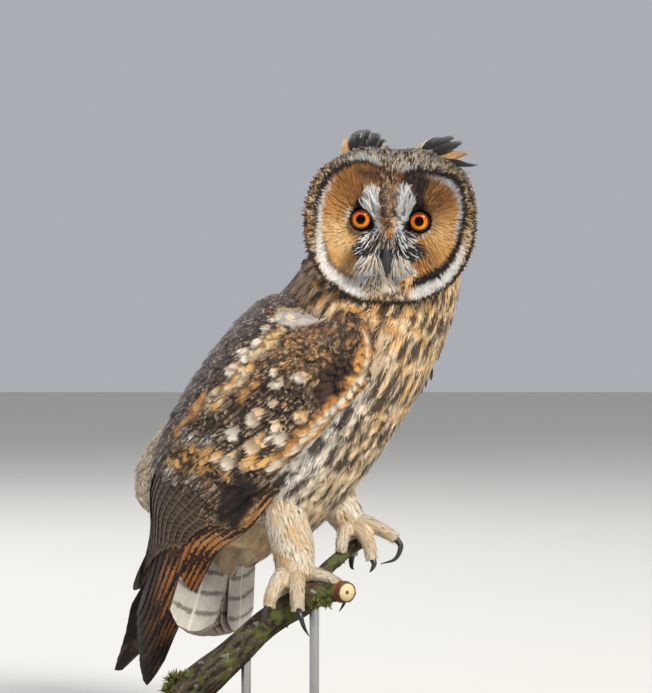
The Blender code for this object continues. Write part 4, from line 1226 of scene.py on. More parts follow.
def whiskers(coat, dice):
    # long bristles that fan out beside the bill and under the brows
    for root, tip, spread, count, lift, tones in whiskerFans:
        fan = dice.normal(0, 1, count).clip(-1.8, 1.8)
        x0, z0 = root[0] + spread[0] * fan * 0.6 + dice.normal(
            0, 0.3, count
        ), root[1] + spread[0] * dice.normal(0, 0.7, count)
        along = array(tip) - array(root)
        across = array((-along[1], along[0])) / hypot(*along)
        share = dice.uniform(0.65, 1.05, count)
        x1 = root[0] + along[0] * share + across[0] * fan * spread[1]
        z1 = root[1] + along[1] * share + across[1] * fan * spread[1]
        s = linspace(0, 1, 7)[None]
        bend = 0.1 * sin(math.pi * s) * dice.normal(0, 1, count)[:, None]
        x = (x0[:, None] + (x1 - x0)[:, None] * s + across[0] * bend * 6) / 1000
        z = (z0[:, None] + (z1 - z0)[:, None] * s + across[1] * bend * 6) / 1000
        ground = faceForward(x, z, discShare(x, z))
        rise = (0.0004 + 0.001 * lift * sin(math.pi * 0.6 * s)) * dice.uniform(0.5, 1.1, count)[:, None]
        centre = headPoint(x, z, maximum(ground, billFront(x, z)) + rise)
        looks = look(
            count, dice, drawn(tones, dice.uniform(0, 1, count)), faceTones["black"], rootShade=0.1, jitter=0.12
        )
        coat.add(
            centre, np.broadcast_to(face, centre.shape), full(count, 0.0003), looks,
            faceBake(x0 / 1000, z0 / 1000), strips=1, tip=0.3, cup=0.2, rootWidth=0.8,
            seed=int(dice.integers(1e6))
        )


# Body plumage

body = {
    "rowGap": 0.006,
    "gap": 0.0058,
    "length": 0.021,
    "half": 0.0052,
    "low": -0.003,
    "high": 0.0006,
    "barbGap": 0.003,
    "barbLength": 0.01,
    "barbHalf": 0.00028,
    "box": (0.32, 0.02, 0.98, 0.4),
}


bodyMarks = {
    "across": 34,  # streaks round the trunk
    "reach": 0.023,  # metres from one row of streaks to the next
    "buff": srgb(232, 186, 122),
    "gold": srgb(214, 152, 84),
    "cream": srgb(244, 228, 196),
    "white": srgb(240, 235, 226),
    "streak": srgb(48, 32, 24),
    "back": srgb(150, 122, 92),
    "mantle": srgb(198, 160, 112),
    "belly": srgb(238, 208, 164),
    "quill": srgb(46, 34, 27),
    "edge": srgb(240, 228, 206),
}


def trunkTone(t, phi, pick):
    # breast, flanks, belly and back, by the place round and along the trunk
    m = bodyMarks
    angle = np.abs((np.degrees(phi) + 180) % 360 - 180)
    along = t * 0.3 / m["reach"]
    row = np.floor(along + 0.35 * ripple(phi, t * 9, 0.5, 2.0))
    turn = phi / (2 * math.pi) * m["across"] + 0.5 * (row % 2) + 0.25 * ripple(t * 9, phi, 0.6, 5.0)
    column = np.floor(turn)
    draw = [speckle(row + 0.5, column + 0.5, 1.0, seed) for seed in (1.0, 7.0, 13.0, 29.0)]
    du = (turn - column - 0.5) - 0.22 * (draw[0] - 0.5)
    dv = (along - row - 0.5) - 0.2 * (draw[1] - 0.5)
    upper = smooth(t, 0.4, 0.75)
    belly = 1 - smooth(t, 0.2, 0.36)
    white = (
        smooth(angle, 22, 48) * (1 - smooth(t, 0.58, 0.76)) * smooth(t, 0.14, 0.3)
        * (1 - smooth(angle, 90, 110))
    )
    cloud = ripple(phi * 9, t * 60, 1.0, 4.0) * 0.5 + 0.5
    tone = blend(
        m["cream"], m["buff"], clip(0.15 + 0.9 * upper * cloud + 0.25 * cloud + 0.3 * (pick - 0.5), 0, 1)
    )
    tone = blend(
        tone, m["gold"],
        clip(1.3 * smooth(t, 0.62, 0.8) * smooth(angle, 20, 70) * smooth(cloud, 0.3, 0.7), 0, 0.9)
    )
    tone = blend(tone, m["white"], white * (0.75 + 0.25 * pick))
    tone = blend(tone, m["belly"], belly * 0.8)
    back = smooth(angle - 34 * smooth(t, 0.66, 0.86), 92, 122)
    tone = blend(tone, blend(m["mantle"], m["back"], pick), back)
    wide = (0.1 + 0.24 * draw[2]) * (1 + 0.3 * upper)
    shape = hypot(du / (wide * (1 - 0.4 * clip(dv * 2, -1, 1))), dv / (0.42 + 0.26 * draw[3]))
    streak = (1 - smooth(shape + 0.35 * (pick - 0.5), 0.75, 1.2)) * (1 - 0.75 * belly)
    arms = (
        smooth(sin((along * 2.4 + np.abs(du) * 2.6 + draw[1]) * 2 * math.pi), 0.35, 0.8) * white
        * (draw[2] > 0.35) * (1 - smooth(np.abs(du), 0.36, 0.46))
    )
    tone = blend(tone, m["streak"], clip(maximum(streak * 0.94, 0.8 * arms), 0, 1))
    return tone


def trunkPaint(dice, n):
    pick, shift = dice.uniform(0, 1, n), dice.normal(0, 1, (2, n))

    def paint(points, which):
        t, phi, _ = trunkPlace(points)
        return trunkTone(t + 0.0035 * shift[0][which], phi + 0.02 * shift[1][which], pick[which])

    return paint


def backLook(n, dice, t, phi):
    angle = np.abs((np.degrees(phi) + 180) % 360 - 180)
    back = smooth(angle - 34 * smooth(t, 0.66, 0.86), 95, 125)
    return look(
        n, dice, colours["painted"], bodyMarks["quill"], pale=bodyMarks["edge"], streak=0.45 * back,
        mottle=0.8 * back, fringe=0.25, rootShade=0.3, jitter=0.12
    )


def insideHead(points):
    x, z, y = headPlace(points)
    a, b, c = head["core"]
    return (x / a) ** 2 + (z / b) ** 2 + ((y + head["coreBack"]) / c) ** 2 < 1


def coverTree():
    points, faces = [], []
    for sign in (-1, 1):
        aa, bb = np.meshgrid(linspace(0.04, 0.72, 30), linspace(0.05, 0.97, 18), indexing="ij")
        first = len(points)
        points += [tuple(p) for p in wingSurface(sign)(aa, bb, 0.0).reshape(-1, 3)]
        faces += [
            (
                first + i * 18 + j, first + i * 18 + j + 1, first + (i + 1) * 18 + j + 1,
                first + (i + 1) * 18 + j
            )
            for i in range(29) for j in range(17)
        ]
    return BVHTree.FromPolygons(points, faces)


def underWing(tree, points, normals, reach=0.016):
    return array(
        [
            tree.ray_cast(Vector(p) - Vector(n) * 0.006, Vector(n), reach)[0] is not None
            for p, n in zip(points, normals)
        ]
    )


def makeBody(finish, tree):
    dice = np.random.default_rng(21)
    t, phi = rowsOver(trunkSurface, 0.985, 0.02, *around, body["rowGap"], body["gap"], dice)
    length = body["length"] * dice.uniform(0.85, 1.15, len(t)) * (1 - 0.25 * smooth(t, 0.8, 1.0))
    drift = dice.normal(0, 0.14, len(t))
    centre, normal = lay(
        trunkSurface, t, phi, drift, length, body["low"], body["high"] * dice.uniform(0.2, 1.8, len(t)),
        steps=6, way=-1
    )
    hidden = underWing(tree, centre[:, 2], normal[:, 2]) & underWing(tree, centre[:, -1], normal[:, -1])
    hidden |= insideHead(centre[:, 0]) & insideHead(centre[:, -1])
    keep = ~hidden
    half = body["half"] * dice.uniform(0.85, 1.15, len(t))
    looks = backLook(len(t), dice, t, phi)
    bake = chart(t, phi, body["box"], bSpan=around)
    angle = np.abs(np.degrees(phi))
    pieces = []
    for name, part in (("breastPlumage", angle < 80), ("mantlePlumage", angle >= 80)):
        pick = keep & part
        coat = Coat(name)
        coat.add(
            centre[pick], normal[pick], half[pick], some(looks, pick), bake[pick], strips=7, tip=0.34,
            fray=0.12, cup=0.18, gap=1.25, seed=31, paint=trunkPaint(dice, pick.sum())
        )
        pieces.append(coat)
    # loose barbs that soften the outline
    t, phi = rowsOver(trunkSurface, 0.97, 0.03, *around, body["barbGap"], body["barbGap"], dice)
    drift = dice.normal(0, 0.3, len(t))
    n = len(t)
    centre, normal = lay(
        trunkSurface, t, phi, drift, body["barbLength"] * dice.uniform(0.7, 1.3, n), -0.001,
        0.0005 + 0.0012 * dice.uniform(0, 1, n), rise=1.2, way=-1
    )
    hidden = (
        underWing(tree, centre[:, 0], normal[:, 0]) | underWing(tree, centre[:, -1], normal[:, -1])
        | insideHead(centre[:, -1])
    )
    looks = backLook(n, dice, t, phi)
    looks["lines"] = looks["lines"] * 0
    bake = chart(t, phi, body["box"], bSpan=around)
    angle = np.abs(np.degrees(phi))
    for coat, part in zip(pieces, (angle < 80, angle >= 80)):
        pick = ~hidden & part
        coat.add(
            centre[pick], normal[pick], full(pick.sum(), body["barbHalf"]), some(looks, pick), bake[pick],
            strips=1, rootWidth=0.8, seed=33, paint=trunkPaint(dice, pick.sum())
        )
    for coat in pieces:
        coat.build(finish, "plumage")


def softCoat(coat, surface, soft, dice):
    # loose feathers of two mixed tones, over a closed surface
    t, phi = rowsOver(surface, *soft["span"], *around, soft["gap"], soft["gap"], dice)
    n = len(t)
    drift = dice.normal(0, soft["swing"], n)
    length, high = soft["length"] * dice.uniform(0.8, 1.2, n), soft["high"] * dice.uniform(
        *soft["highRange"], n
    )
    centre, normal = lay(surface, t, phi, drift, length, soft["low"], high, steps=6)
    warm = dice.uniform(0, 1, (n, 1))
    looks = look(n, dice, soft["pale"] * (1 - warm) + soft["warm"] * warm, soft["mark"], **soft["look"])
    half = soft["half"] * dice.uniform(0.8, 1.2, n)
    coat.add(centre, normal, half, looks, chart(t, phi, soft["box"], bSpan=around), cup=0.2, **soft["cut"])


rumpCoat = {
    "span": (0.0, 0.93),
    "gap": 0.0048,
    "length": 0.019,
    "half": 0.0048,
    "pale": srgb(250, 240, 222),
    "warm": srgb(234, 208, 168),
    "mark": srgb(104, 82, 64),
    "swing": 0.2,
    "low": -0.003,
    "high": 0.001,
    "highRange": (-0.5, 1.5),
    "look": {"mottle": 0.75, "streak": 0.16, "fringe": 0.6, "rootShade": 0.15},
    "cut": {"strips": 9, "tip": 0.4, "fray": 0.16, "seed": 43},
    "box": (0.32, 0.42, 0.55, 0.62),
}


def makeRump(finish):
    dice = np.random.default_rng(41)
    surface = tubeSurface(rump["path"], rump["radii"], flat=True)
    coat = Coat("rumpPlumage")
    softCoat(coat, surface, rumpCoat, dice)
    coat.build(finish, "plumage")


headCoat = {
    "gap": 0.0032,
    "rowGap": 0.003,
    "length": 0.0105,
    "half": 0.0023,
    # each pair of tones is mixed by a draw
    "crown": (colours["crown"], srgb(196, 178, 150)),
    "cheek": (srgb(226, 186, 128), srgb(206, 150, 84)),
    "nape": (srgb(214, 170, 112), srgb(176, 132, 84)),
    "mark": srgb(38, 29, 24),
    "box": (0.32, 0.7, 0.98, 0.98),
}


def makeHeadCoat(finish):
    dice = np.random.default_rng(51)
    back, turn = rowsOver(headSurface, 0.0, 0.93, *around, headCoat["rowGap"], headCoat["gap"], dice)
    n = len(back)
    points = headSurface(back, turn)
    _, _, out = trunkPlace(points)
    length = headCoat["length"] * dice.uniform(0.8, 1.2, n) * (0.62 + 0.5 * smooth(back, 0.05, 0.6))
    drift = dice.normal(0, 0.15, n)
    centre, normal = lay(
        headSurface, back, turn, drift, length, -0.0018, 0.0006 * dice.uniform(0, 2, n), steps=5
    )
    keep = (out > 0.86) | (points[:, 2] > 0.315)
    warm = dice.uniform(0, 1, n)
    above = smooth(sin(turn), 0.25, 0.75)
    tone = blend(blend(*headCoat["cheek"], warm), blend(*headCoat["crown"], warm), above)
    tone = blend(tone, blend(*headCoat["nape"], warm), smooth(back, 0.35, 0.6) * (1 - 0.5 * above))
    rim = 1 - smooth(back, 0.04, 0.14)
    rimTone = where((warm < 0.5)[:, None], colours["darkBrown"], colours["cream"])
    tone = blend(tone, rimTone, rim * (0.35 + 0.4 * (sin(turn) > -0.2)))
    looks = look(
        n, dice, tone, headCoat["mark"], streak=0.34 + 0.18 * above, bars=0.25 * above, count=5.0,
        mottle=0.35 + 0.5 * above, fringe=0.2, rootShade=0.25, jitter=0.15
    )
    bake = chart(back, turn, headCoat["box"], bSpan=around)
    coat = Coat("crownPlumage")
    coat.add(
        centre[keep], normal[keep], headCoat["half"] * dice.uniform(0.85, 1.2, keep.sum()),
        some(looks, keep), bake[keep], strips=5, tip=0.34, fray=0.14, cup=0.25, seed=53
    )
    coat.build(finish, "plumage")


legCoat = {
    # gap, length, half width, lift and start of the down
    "leg": (0.0018, 0.011, 0.0007, 0.0009, 0.0),
    "toe": (0.00115, 0.0058, 0.00045, 0.0007, 0.1),
    "pale": srgb(254, 244, 224),
    "warm": srgb(240, 200, 144),
    "mark": srgb(170, 134, 92),
}


def makeLegCoat(finish):
    dice = np.random.default_rng(61)
    coat = Coat("legDown")
    for k, leg in enumerate(("right", "left")):
        surfaces = [tubeSurface(legs[leg]["path"], legs[leg]["radii"])] + toeTubes(leg)
        for i, surface in enumerate(surfaces):
            gap, reach, half, high, start = legCoat["toe" if i else "leg"]
            t, phi = rowsOver(surface, start, 0.98, *around, gap, gap, dice)
            n = len(t)
            length = minimum(reach * dice.uniform(0.75, 1.25, n), maximum((1.06 - t) * 0.06, reach * 0.35))
            drift = dice.normal(0, 0.28, n)
            centre, normal = lay(
                surface, t, phi, drift, length, -half * 1.1, high * dice.uniform(0.0, 1.6, n), steps=5,
                rise=0.9
            )
            spots = surface(t, phi, 0.0)
            warm = clip(
                0.35 + 0.55 * ripple(spots[:, 0] * 1000, spots[:, 2] * 1000, 7.0, 2.0)
                + 0.2 * dice.normal(0, 1, n),
                0, 1
            )[:, None]
            tone = legCoat["pale"] * (1 - warm) + legCoat["warm"] * warm
            looks = look(n, dice, tone, legCoat["mark"], rootShade=0.04, jitter=0.06)
            box = (0.56 + 0.2 * k, 0.42, 0.74 + 0.2 * k, 0.62)
            coat.add(
                centre, normal, half * dice.uniform(0.8, 1.2, n), looks, chart(t, phi, box, bSpan=around),
                strips=2, tip=0.4, fray=0.25, cup=0.25, gap=0.8, seed=int(dice.integers(1e6))
            )
    coat.build(finish, "leg_down")


# Wings


def wingLay(surface, starts, ends, lifts, steps=8):
    # feathers between places given as (along, across) on the folded wing
    starts, ends = np.asarray(starts, float), np.asarray(ends, float)
    s = linspace(0, 1, steps)[None]
    along = starts[:, 0:1] + (ends[:, 0:1] - starts[:, 0:1]) * s
    across = starts[:, 1:2] + (ends[:, 1:2] - starts[:, 1:2]) * s
    low, high = np.broadcast_to(lifts[0], (len(starts),)), np.broadcast_to(lifts[1], (len(starts),))
    lift = low[:, None] + (high - low)[:, None] * s**0.8
    return surface(along, across, lift), surfaceNormal(surface, along, across)


def overlapSlope(surface, starts, ends, amount):
    # tilt of each vane, so that its front edge lies over the next feather
    starts, ends = np.asarray(starts, float), np.asarray(ends, float)
    middle = (starts + ends) / 2
    centre, normal = wingLay(surface, starts, ends, (0.0, 0.0), steps=5)
    b = np.cross(unit(centre[:, 3] - centre[:, 1]), normal[:, 2])
    ahead = surface(middle[:, 0], middle[:, 1] + 0.01) - surface(middle[:, 0], middle[:, 1])
    return -amount * np.sign(np.sum(b * ahead, axis=1))


flight = {
    "primaries": 10,
    "secondaries": 12,
    "slope": 0.16,
    "shadow": srgb(44, 32, 25),
    "primaryBar": srgb(38, 29, 24),
    "secondary": srgb(38, 29, 23),
    "secondaryBar": srgb(112, 90, 68),
    "secondaryEdge": srgb(168, 144, 112),
}


def makeFlight(sign, name, finish, box):
    dice = np.random.default_rng(71)
    surface = wingSurface(sign)
    coat = Coat("flightFeathers" + name.capitalize())
    t = linspace(0, 1, flight["primaries"])
    starts = column_stack([full(len(t), 0.43), 0.025 + 0.27 * t])
    ends = column_stack([1.0 - 0.13 * t**1.5, 0.09 + 0.7 * t])
    sets = [(starts, ends, 0.0058 + 0 * t, (-0.001 - 0.004 * t, -0.005 + 0.0032 * t), "primary")]
    t = linspace(0, 1, flight["secondaries"])
    starts = column_stack([full(len(t), 0.46), 0.19 + 0.71 * t])
    ends = column_stack([0.69 + 0.13 * t, 0.33 + 0.62 * t])
    sets.append((starts, ends, 0.0078 + 0 * t, (-0.0032 + 0 * t, -0.0004 + 0.0009 * t), "secondary"))
    n = sum(len(s[0]) for s in sets)
    bake, cell = cells(n, box)
    first = 0
    for starts, ends, half, lifts, kind in sets:
        m = len(starts)
        centre, normal = wingLay(surface, starts, ends, lifts, steps=20)
        slope = overlapSlope(surface, starts, ends, flight["slope"])
        if kind == "primary":
            looks = look(
                m, dice, colours["painted"], flight["shadow"], pale=flight["primaryBar"], bars=0.97,
                count=4.6, mottle=0.25, fringe=0.95, rootShade=0.0, jitter=0.06
            )
        else:
            looks = look(
                m, dice, flight["secondary"], flight["secondaryBar"], pale=flight["secondaryEdge"],
                bars=0.55, count=17.0, mottle=0.4, fringe=0.3, rootShade=0.0, jitter=0.08
            )
        coat.addVane(
            centre, normal, half, looks, bake[first : first + m], columns=8, tip=0.13, cup=0.1, slope=slope,
            notch=0.006, cell=cell, seed=73, paint=wingPaint(sign, dice, m) if kind == "primary" else None
        )
        first += m
    coat.build(finish, "flight_feathers", (f"wing_{name}",))


coverts = {
    "rows": (
        # start along, start across, reach along, drift across, number, half width, low and high lift
        (0.465, (0.07, 0.22), 0.1, 0.02, 9, 0.005, -0.0026, 0.0012),
        (0.415, (0.12, 0.8), 0.125, 0.05, 26, 0.0044, -0.0022, 0.0018),
        (0.37, (0.1, 0.76), 0.095, 0.03, 22, 0.0048, -0.0018, 0.0024),
        (0.325, (0.1, 0.74), 0.09, 0.03, 21, 0.0048, -0.0016, 0.0027),
        (0.28, (0.09, 0.72), 0.085, 0.03, 20, 0.0048, -0.0014, 0.003),
        (0.24, (0.07, 0.7), 0.08, 0.03, 19, 0.0048, -0.0012, 0.0033),
    ),
    "shadow": srgb(40, 29, 22),
    "pale": srgb(222, 202, 170),
    "small": {"gap": 0.005, "rowGap": 0.0044, "reach": 0.014, "half": 0.004},
}
wingTones = {
    "black": srgb(30, 23, 20),
    "cocoa": srgb(66, 47, 36),
    "drab": srgb(132, 108, 84),
    "grey": srgb(158, 138, 116),
    "rusty": srgb(172, 118, 74),
    "gold": srgb(232, 178, 104),
    "orange": srgb(216, 140, 68),
    "cream": srgb(246, 226, 186),
    "white": srgb(242, 238, 230),
    "lavender": srgb(190, 180, 174),
    "silver": srgb(214, 208, 196),
    "straw": srgb(226, 208, 172),
    "apricot": srgb(222, 160, 98),
    "copper": srgb(196, 124, 66),
    "smoke": srgb(128, 98, 80),
}

wingSize = (75, 230)  # millimetres across and along the folded wing

# markings of the wing: outline as (along, across) in hundredths, softness in millimetres, strength, tones and
# how far the fine marks are quieted there
wingMarks = (
    (
        ((-10, -20), (-10, 60), (6, 56), (10, 36), (10, -10)), 3.0, 0.85, "cocoa cocoa black rusty cocoa",
        0.35
    ),
    (
        ((6, 16), (7, 50), (17, 56), (24, 46), (24, 28), (14, 22)), 4.0, 0.8,
        "rusty gold cocoa drab rusty gold", 0.3
    ),
    (
        ((9, 11), (11, 21), (17, 25), (23, 23), (25.5, 12), (20, 6), (13, 5)), 2.6, 0.97,
        "black cocoa black", 0.75
    ),
    (
        ((3, 0), (9, 8), (16, 8), (24, 12), (34, 16), (41, 14), (40, 9), (30, 5), (14, 0), (3, -9)), 1.8,
        0.9, "orange gold orange", 0.85
    ),
    (((20, 66), (14, 100), (60, 104), (60, 84), (38, 72)), 4.0, 0.45, "black cocoa drab", 0.0),
    (
        ((12, 62), (20, 61), (30, 58.5), (38, 59), (38.5, 52), (30, 50), (20, 52), (13, 57)), 2.2, 0.95,
        "gold cream gold", 0.92
    ),
    (((36, 64), (48, 68), (48, 63), (38, 59)), 1.6, 0.9, "gold orange", 0.9),
    (((27, 47), (32, 48), (33, 43), (28, 42)), 1.6, 0.75, "gold rusty", 0.8),
    (((43, 44), (51, 64), (56, 63), (50, 40), (46, 28), (43, 32)), 1.6, 0.85, "gold cocoa gold black", 0.75),
    (((41, 42), (46, 64), (49, 62), (43, 41)), 1.8, 0.7, "white grey", 0.1),
    (((50, 36), (55, 64), (60, 64), (54, 34)), 1.8, 0.7, "white grey cocoa", 0.1),
    (((44, 7), (44, 23), (49, 25), (57, 18), (56, 5)), 2.0, 1.0, "black black cocoa", 0.7),
    (
        ((-6, 58), (-6, 90), (5, 84), (12, 76), (15, 67), (10, 60), (3, 57)), 2.4, 1.0,
        "lavender lavender cream", 1.0
    ),
    (((-10, 84), (-4, 92), (4, 90), (10, 84), (10, 80), (4, 84), (-4, 86)), 1.6, 0.8, "cream gold", 0.95),
)
# pale drops: along, across, half length and half width in millimetres, share of gold
wingDrops = (
    (21, 30, 4.2, 3.2, 0.25), (25.5, 36, 4.2, 3.6, 0.1), (28, 17.5, 4.6, 3.6, 0.55),
    (32, 22.5, 3.4, 3.0, 0.3), (33, 33.5, 4.6, 3.6, 0.35),
    (38.5, 37.5, 3.6, 3.6, 0.0), (37, 25.5, 6.4, 3.6, 0.5), (33.8, 19, 3.8, 3.8, 0.1),
    (43, 29.5, 5.2, 3.4, 0.3), (41, 22, 5.2, 3.6, 0.7),
    (39, 16.5, 4.4, 2.4, 0.85), (37, 13, 3.0, 1.8, 0.9), (24, 41, 2.6, 2.4, 0.2), (14, 70, 3.2, 2.4, 0.2),
    (18, 65.5, 3.4, 2.6, 0.1),
    (22, 62, 3.8, 3.0, 0.1), (25.7, 59.5, 3.6, 3.0, 0.05), (29.5, 59.8, 4.2, 3.2, 0.2),
    (34.5, 58.5, 3.4, 2.6, 0.4), (44.5, 35.5, 3.6, 2.4, 0.6),
    (29, 30, 2.4, 2.0, 0.3), (20, 22, 2.0, 1.4, 0.6), (46.5, 26, 3.0, 2.0, 0.8),
)


def wingEdge(along):
    # where the front edge of the wing lies across the folded surface
    return interp(
        along, (-0.1, 0.05, 0.1, 0.175, 0.245, 0.325, 0.4), (-0.04, -0.04, -0.01, 0.035, 0.065, 0.085, 0.1)
    )


def wingTone(along, across, pick):
    # the colour at a place on the folded wing, and how far the fine marks are quieted there
    w = wingTones
    wide, long = wingSize  # hundredths in the marks become millimetres
    x, z = across * wide, along * long
    dots = speckle(x, z, 2.2, 5.0)
    table = array([w["drab"], w["grey"], w["cocoa"], w["drab"], w["cocoa"], w["rusty"]])
    tone = table[minimum((speckle(x, z, 3.1, 17.0) * 0.5 + pick * 0.5) * 6, 5.99).astype(int)]
    calm = np.zeros(x.shape)
    for outline, soft, strength, tones, quiet in wingMarks:
        corners = [(c * wide / 100, a * long / 100) for a, c in outline]
        inside = (
            zone(x + 1.4 * ripple(x, z, 4.0, 3.0), z + 1.4 * ripple(z, x, 4.0, 8.0), corners, soft)
            * strength
        )
        table = array([w[name] for name in tones.split()])
        chosen = table[minimum((dots * 0.5 + pick * 0.5) * len(table), len(table) - 0.01).astype(int)]
        tone, calm = blend(tone, chosen, inside), calm * (1 - inside) + quiet * inside
    for a, c, tall, broad, golden in wingDrops:
        dx, dz = x - c * wide / 100, z - a * long / 100
        near = (np.abs(dx) < 9) & (np.abs(dz) < 12)
        d = hypot(dx[near] / (broad * (0.72 + 0.35 * clip(dz[near] / tall, -1, 1))), dz[near] / tall)
        ringed = (1 - smooth(d, 1.25, 1.6)) * (dz[near] > -0.3 * tall) * 0.8
        tone[near] = blend(tone[near], w["black"], ringed)
        drop = 1 - smooth(d + 0.25 * (pick[near] - 0.5), 0.85, 1.1)
        colour = blend(
            blend(w["white"], w["cream"], 0.4), w["gold"], clip(golden * 1.3 - 0.35 * dz[near] / tall, 0, 1)
        )
        tone[near], calm[near] = blend(tone[near], colour, drop), maximum(calm[near], drop * 0.9)
    pale = np.abs(across - wingEdge(along) - 0.008) * wide
    white = (1 - smooth(pale, 0.9, 1.5)) * (1 - smooth(along, 0.4, 0.42))
    tone = blend(tone, blend(w["silver"], w["straw"], pick), white)
    # below the coverts: rufous at the front edge, dark behind
    low = smooth(along, 0.56, 0.6)
    low = maximum(low, smooth(along, 0.42, 0.46) * (1 - smooth(across, 0.03, 0.07)))
    front = low * (1 - smooth(across, 0.34, 0.56)) * (1 - smooth(along, 0.74, 0.93))
    tone = blend(tone, w["cocoa"] * 0.9, low)
    tone = blend(tone, blend(w["apricot"], w["copper"], smooth(along, 0.55, 0.75)), front)
    tone = blend(tone, blend(w["drab"], w["smoke"], pick), smooth(along, 0.9, 0.97))
    calm = where(low > 0.5, 0.0, maximum(calm, white))
    return column_stack([tone, 1 - calm])


def wingPaint(sign, dice, n):
    # paints feathers by the nearest place of the folded wing
    aa, bb = [
        v.ravel() for v in np.meshgrid(linspace(-0.1, 1.05, 260), linspace(-0.1, 1.05, 110), indexing="ij")
    ]
    spots = wingSurface(sign)(aa, bb, 0.002)
    tree = KDTree(len(spots))
    for i, p in enumerate(spots):
        tree.insert(p, i)
    tree.balance()
    pick, shift = dice.uniform(0, 1, n), dice.normal(0, 1, (2, n))

    def paint(points, which):
        near = array([tree.find(p)[1] for p in points])
        return wingTone(aa[near] + 0.0022 * shift[0][which], bb[near] + 0.006 * shift[1][which], pick[which])

    return paint


def makeCoverts(sign, name, finish, box):
    dice = np.random.default_rng(81)
    surface = wingSurface(sign)
    coat = Coat("wingCoverts" + name.capitalize())
    for row, (along, span, reach, drift, count, half, low, high) in enumerate(coverts["rows"]):
        t = (arange(count) + dice.uniform(-0.12, 0.12, count)) / (count - 1)
        across = span[0] + (span[1] - span[0]) * t
        starts = column_stack([along + 0.02 * t + dice.uniform(-0.006, 0.006, count), across])
        ends = starts + column_stack([reach * dice.uniform(0.93, 1.07, count), full(count, drift)])
        centre, normal = wingLay(surface, starts, ends, (low, high), steps=18)
        slope = overlapSlope(surface, starts, ends, 0.14)
        looks = look(
            count, dice, colours["painted"], coverts["shadow"], pale=coverts["pale"], streak=0.22,
            mottle=0.85, rootShade=0.25, jitter=0.12
        )
        coat.addVane(
            centre, normal, full(count, half), looks, chart(starts[:, 0], starts[:, 1], box), columns=8,
            tip=0.3, cup=0.14, slope=slope, notch=0.03, cell=(0.012, 0.02), seed=83 + row,
            paint=wingPaint(sign, dice, count)
        )
    small = coverts["small"]
    along, across = rowsOver(surface, 0.0, 0.27, -0.04, 0.76, small["rowGap"], small["gap"], dice)
    addSmallCoverts(coat, sign, along, across, small, box, dice, mottle=0.85)
    along, across = rowsOver(surface, 0.0, 0.52, 0.4, 1.0, 0.0052, 0.0052, dice)
    keep = across > 0.7 - 0.4 * along
    addSmallCoverts(
        coat, sign, along[keep], across[keep], {"reach": 0.02, "half": 0.0052}, box, dice, low=-0.001,
        high=0.0046, mottle=0.95
    )
    # the pale feathers along the front edge
    along, across = rowsOver(surface, 0.0, 0.375, 0.0, 0.03, 0.0022, 0.0012, dice)
    addSmallCoverts(
        coat, sign, along, across + wingEdge(along), {"reach": 0.015, "half": 0.0011, "drift": 0.1}, box,
        dice, low=0.0004, high=0.0016, mottle=0.05
    )
    coat.build(finish, "plumage")


def addSmallCoverts(coat, sign, along, across, sizes, box, dice, low=-0.0016, high=0.0038, mottle=0.8):
    surface = wingSurface(sign)
    keep = across >= wingEdge(along) - 0.001
    along, across = along[keep], across[keep]
    n = len(along)
    length = sizes["reach"] * dice.uniform(0.85, 1.15, n)
    drift = dice.normal(0.05, 0.09, n) if "drift" not in sizes else sizes["drift"] + dice.normal(0, 0.03, n)
    high = high * dice.uniform(0.85, 1.12, n) * smooth(along, -0.06, 0.1)
    centre, normal = lay(surface, along, across, drift, length, low, high, steps=9, rise=0.8)
    half = sizes["half"] * dice.uniform(0.9, 1.1, n)
    looks = look(
        n, dice, colours["painted"], coverts["shadow"], pale=coverts["pale"], streak=0.2, mottle=mottle,
        rootShade=0.22, jitter=0.12
    )
    coat.add(
        centre, normal, half, looks, chart(along, across, box), strips=7, tip=0.36, fray=0.07, cup=0.16,
        gap=1.25, seed=int(dice.integers(1e6)), paint=wingPaint(sign, dice, n)
    )


# Tail

tailFeathers = {
    "count": 12,
    "half": 0.0155,
    "bars": 6.5,
    "inner": srgb(206, 190, 162),
    "outer": srgb(214, 210, 200),
    "bar": srgb(70, 58, 50),
    "edge": srgb(240, 236, 226),
    "top": srgb(176, 144, 106),
    "topBar": srgb(52, 40, 32),
    "topEdge": srgb(214, 190, 150),
    "box": (0.02, 0.02, 0.3, 0.14),
}
# the soft coverts that fill the space between the legs and the tail
tailCoverts = {
    "tubes": (
        (((-0.03, 0.16), (-0.045, 0.135), (-0.0515, 0.11), (-0.056, 0.092)), (0.022, 0.018, 0.013, 0.006)),
        (((-0.004, 0.168), (-0.014, 0.146), (-0.024, 0.126), (-0.034, 0.108)), (0.026, 0.024, 0.017, 0.006)),
    ),
    "gap": 0.0038,
    "length": 0.016,
    "half": 0.003,
    "pale": srgb(240, 224, 194),
    "warm": srgb(228, 194, 146),
    "mark": srgb(120, 92, 66),
    "span": (0.05, 0.97),
    "swing": 0.18,
    "low": -0.002,
    "high": 0.0012,
    "highRange": (0, 1.5),
    "look": {"streak": 0.08, "mottle": 0.1, "fringe": 0.3, "rootShade": 0.2},
    "cut": {"strips": 5, "tip": 0.4, "fray": 0.2, "seed": 95},
    "box": (0.02, 0.16, 0.3, 0.3),
}


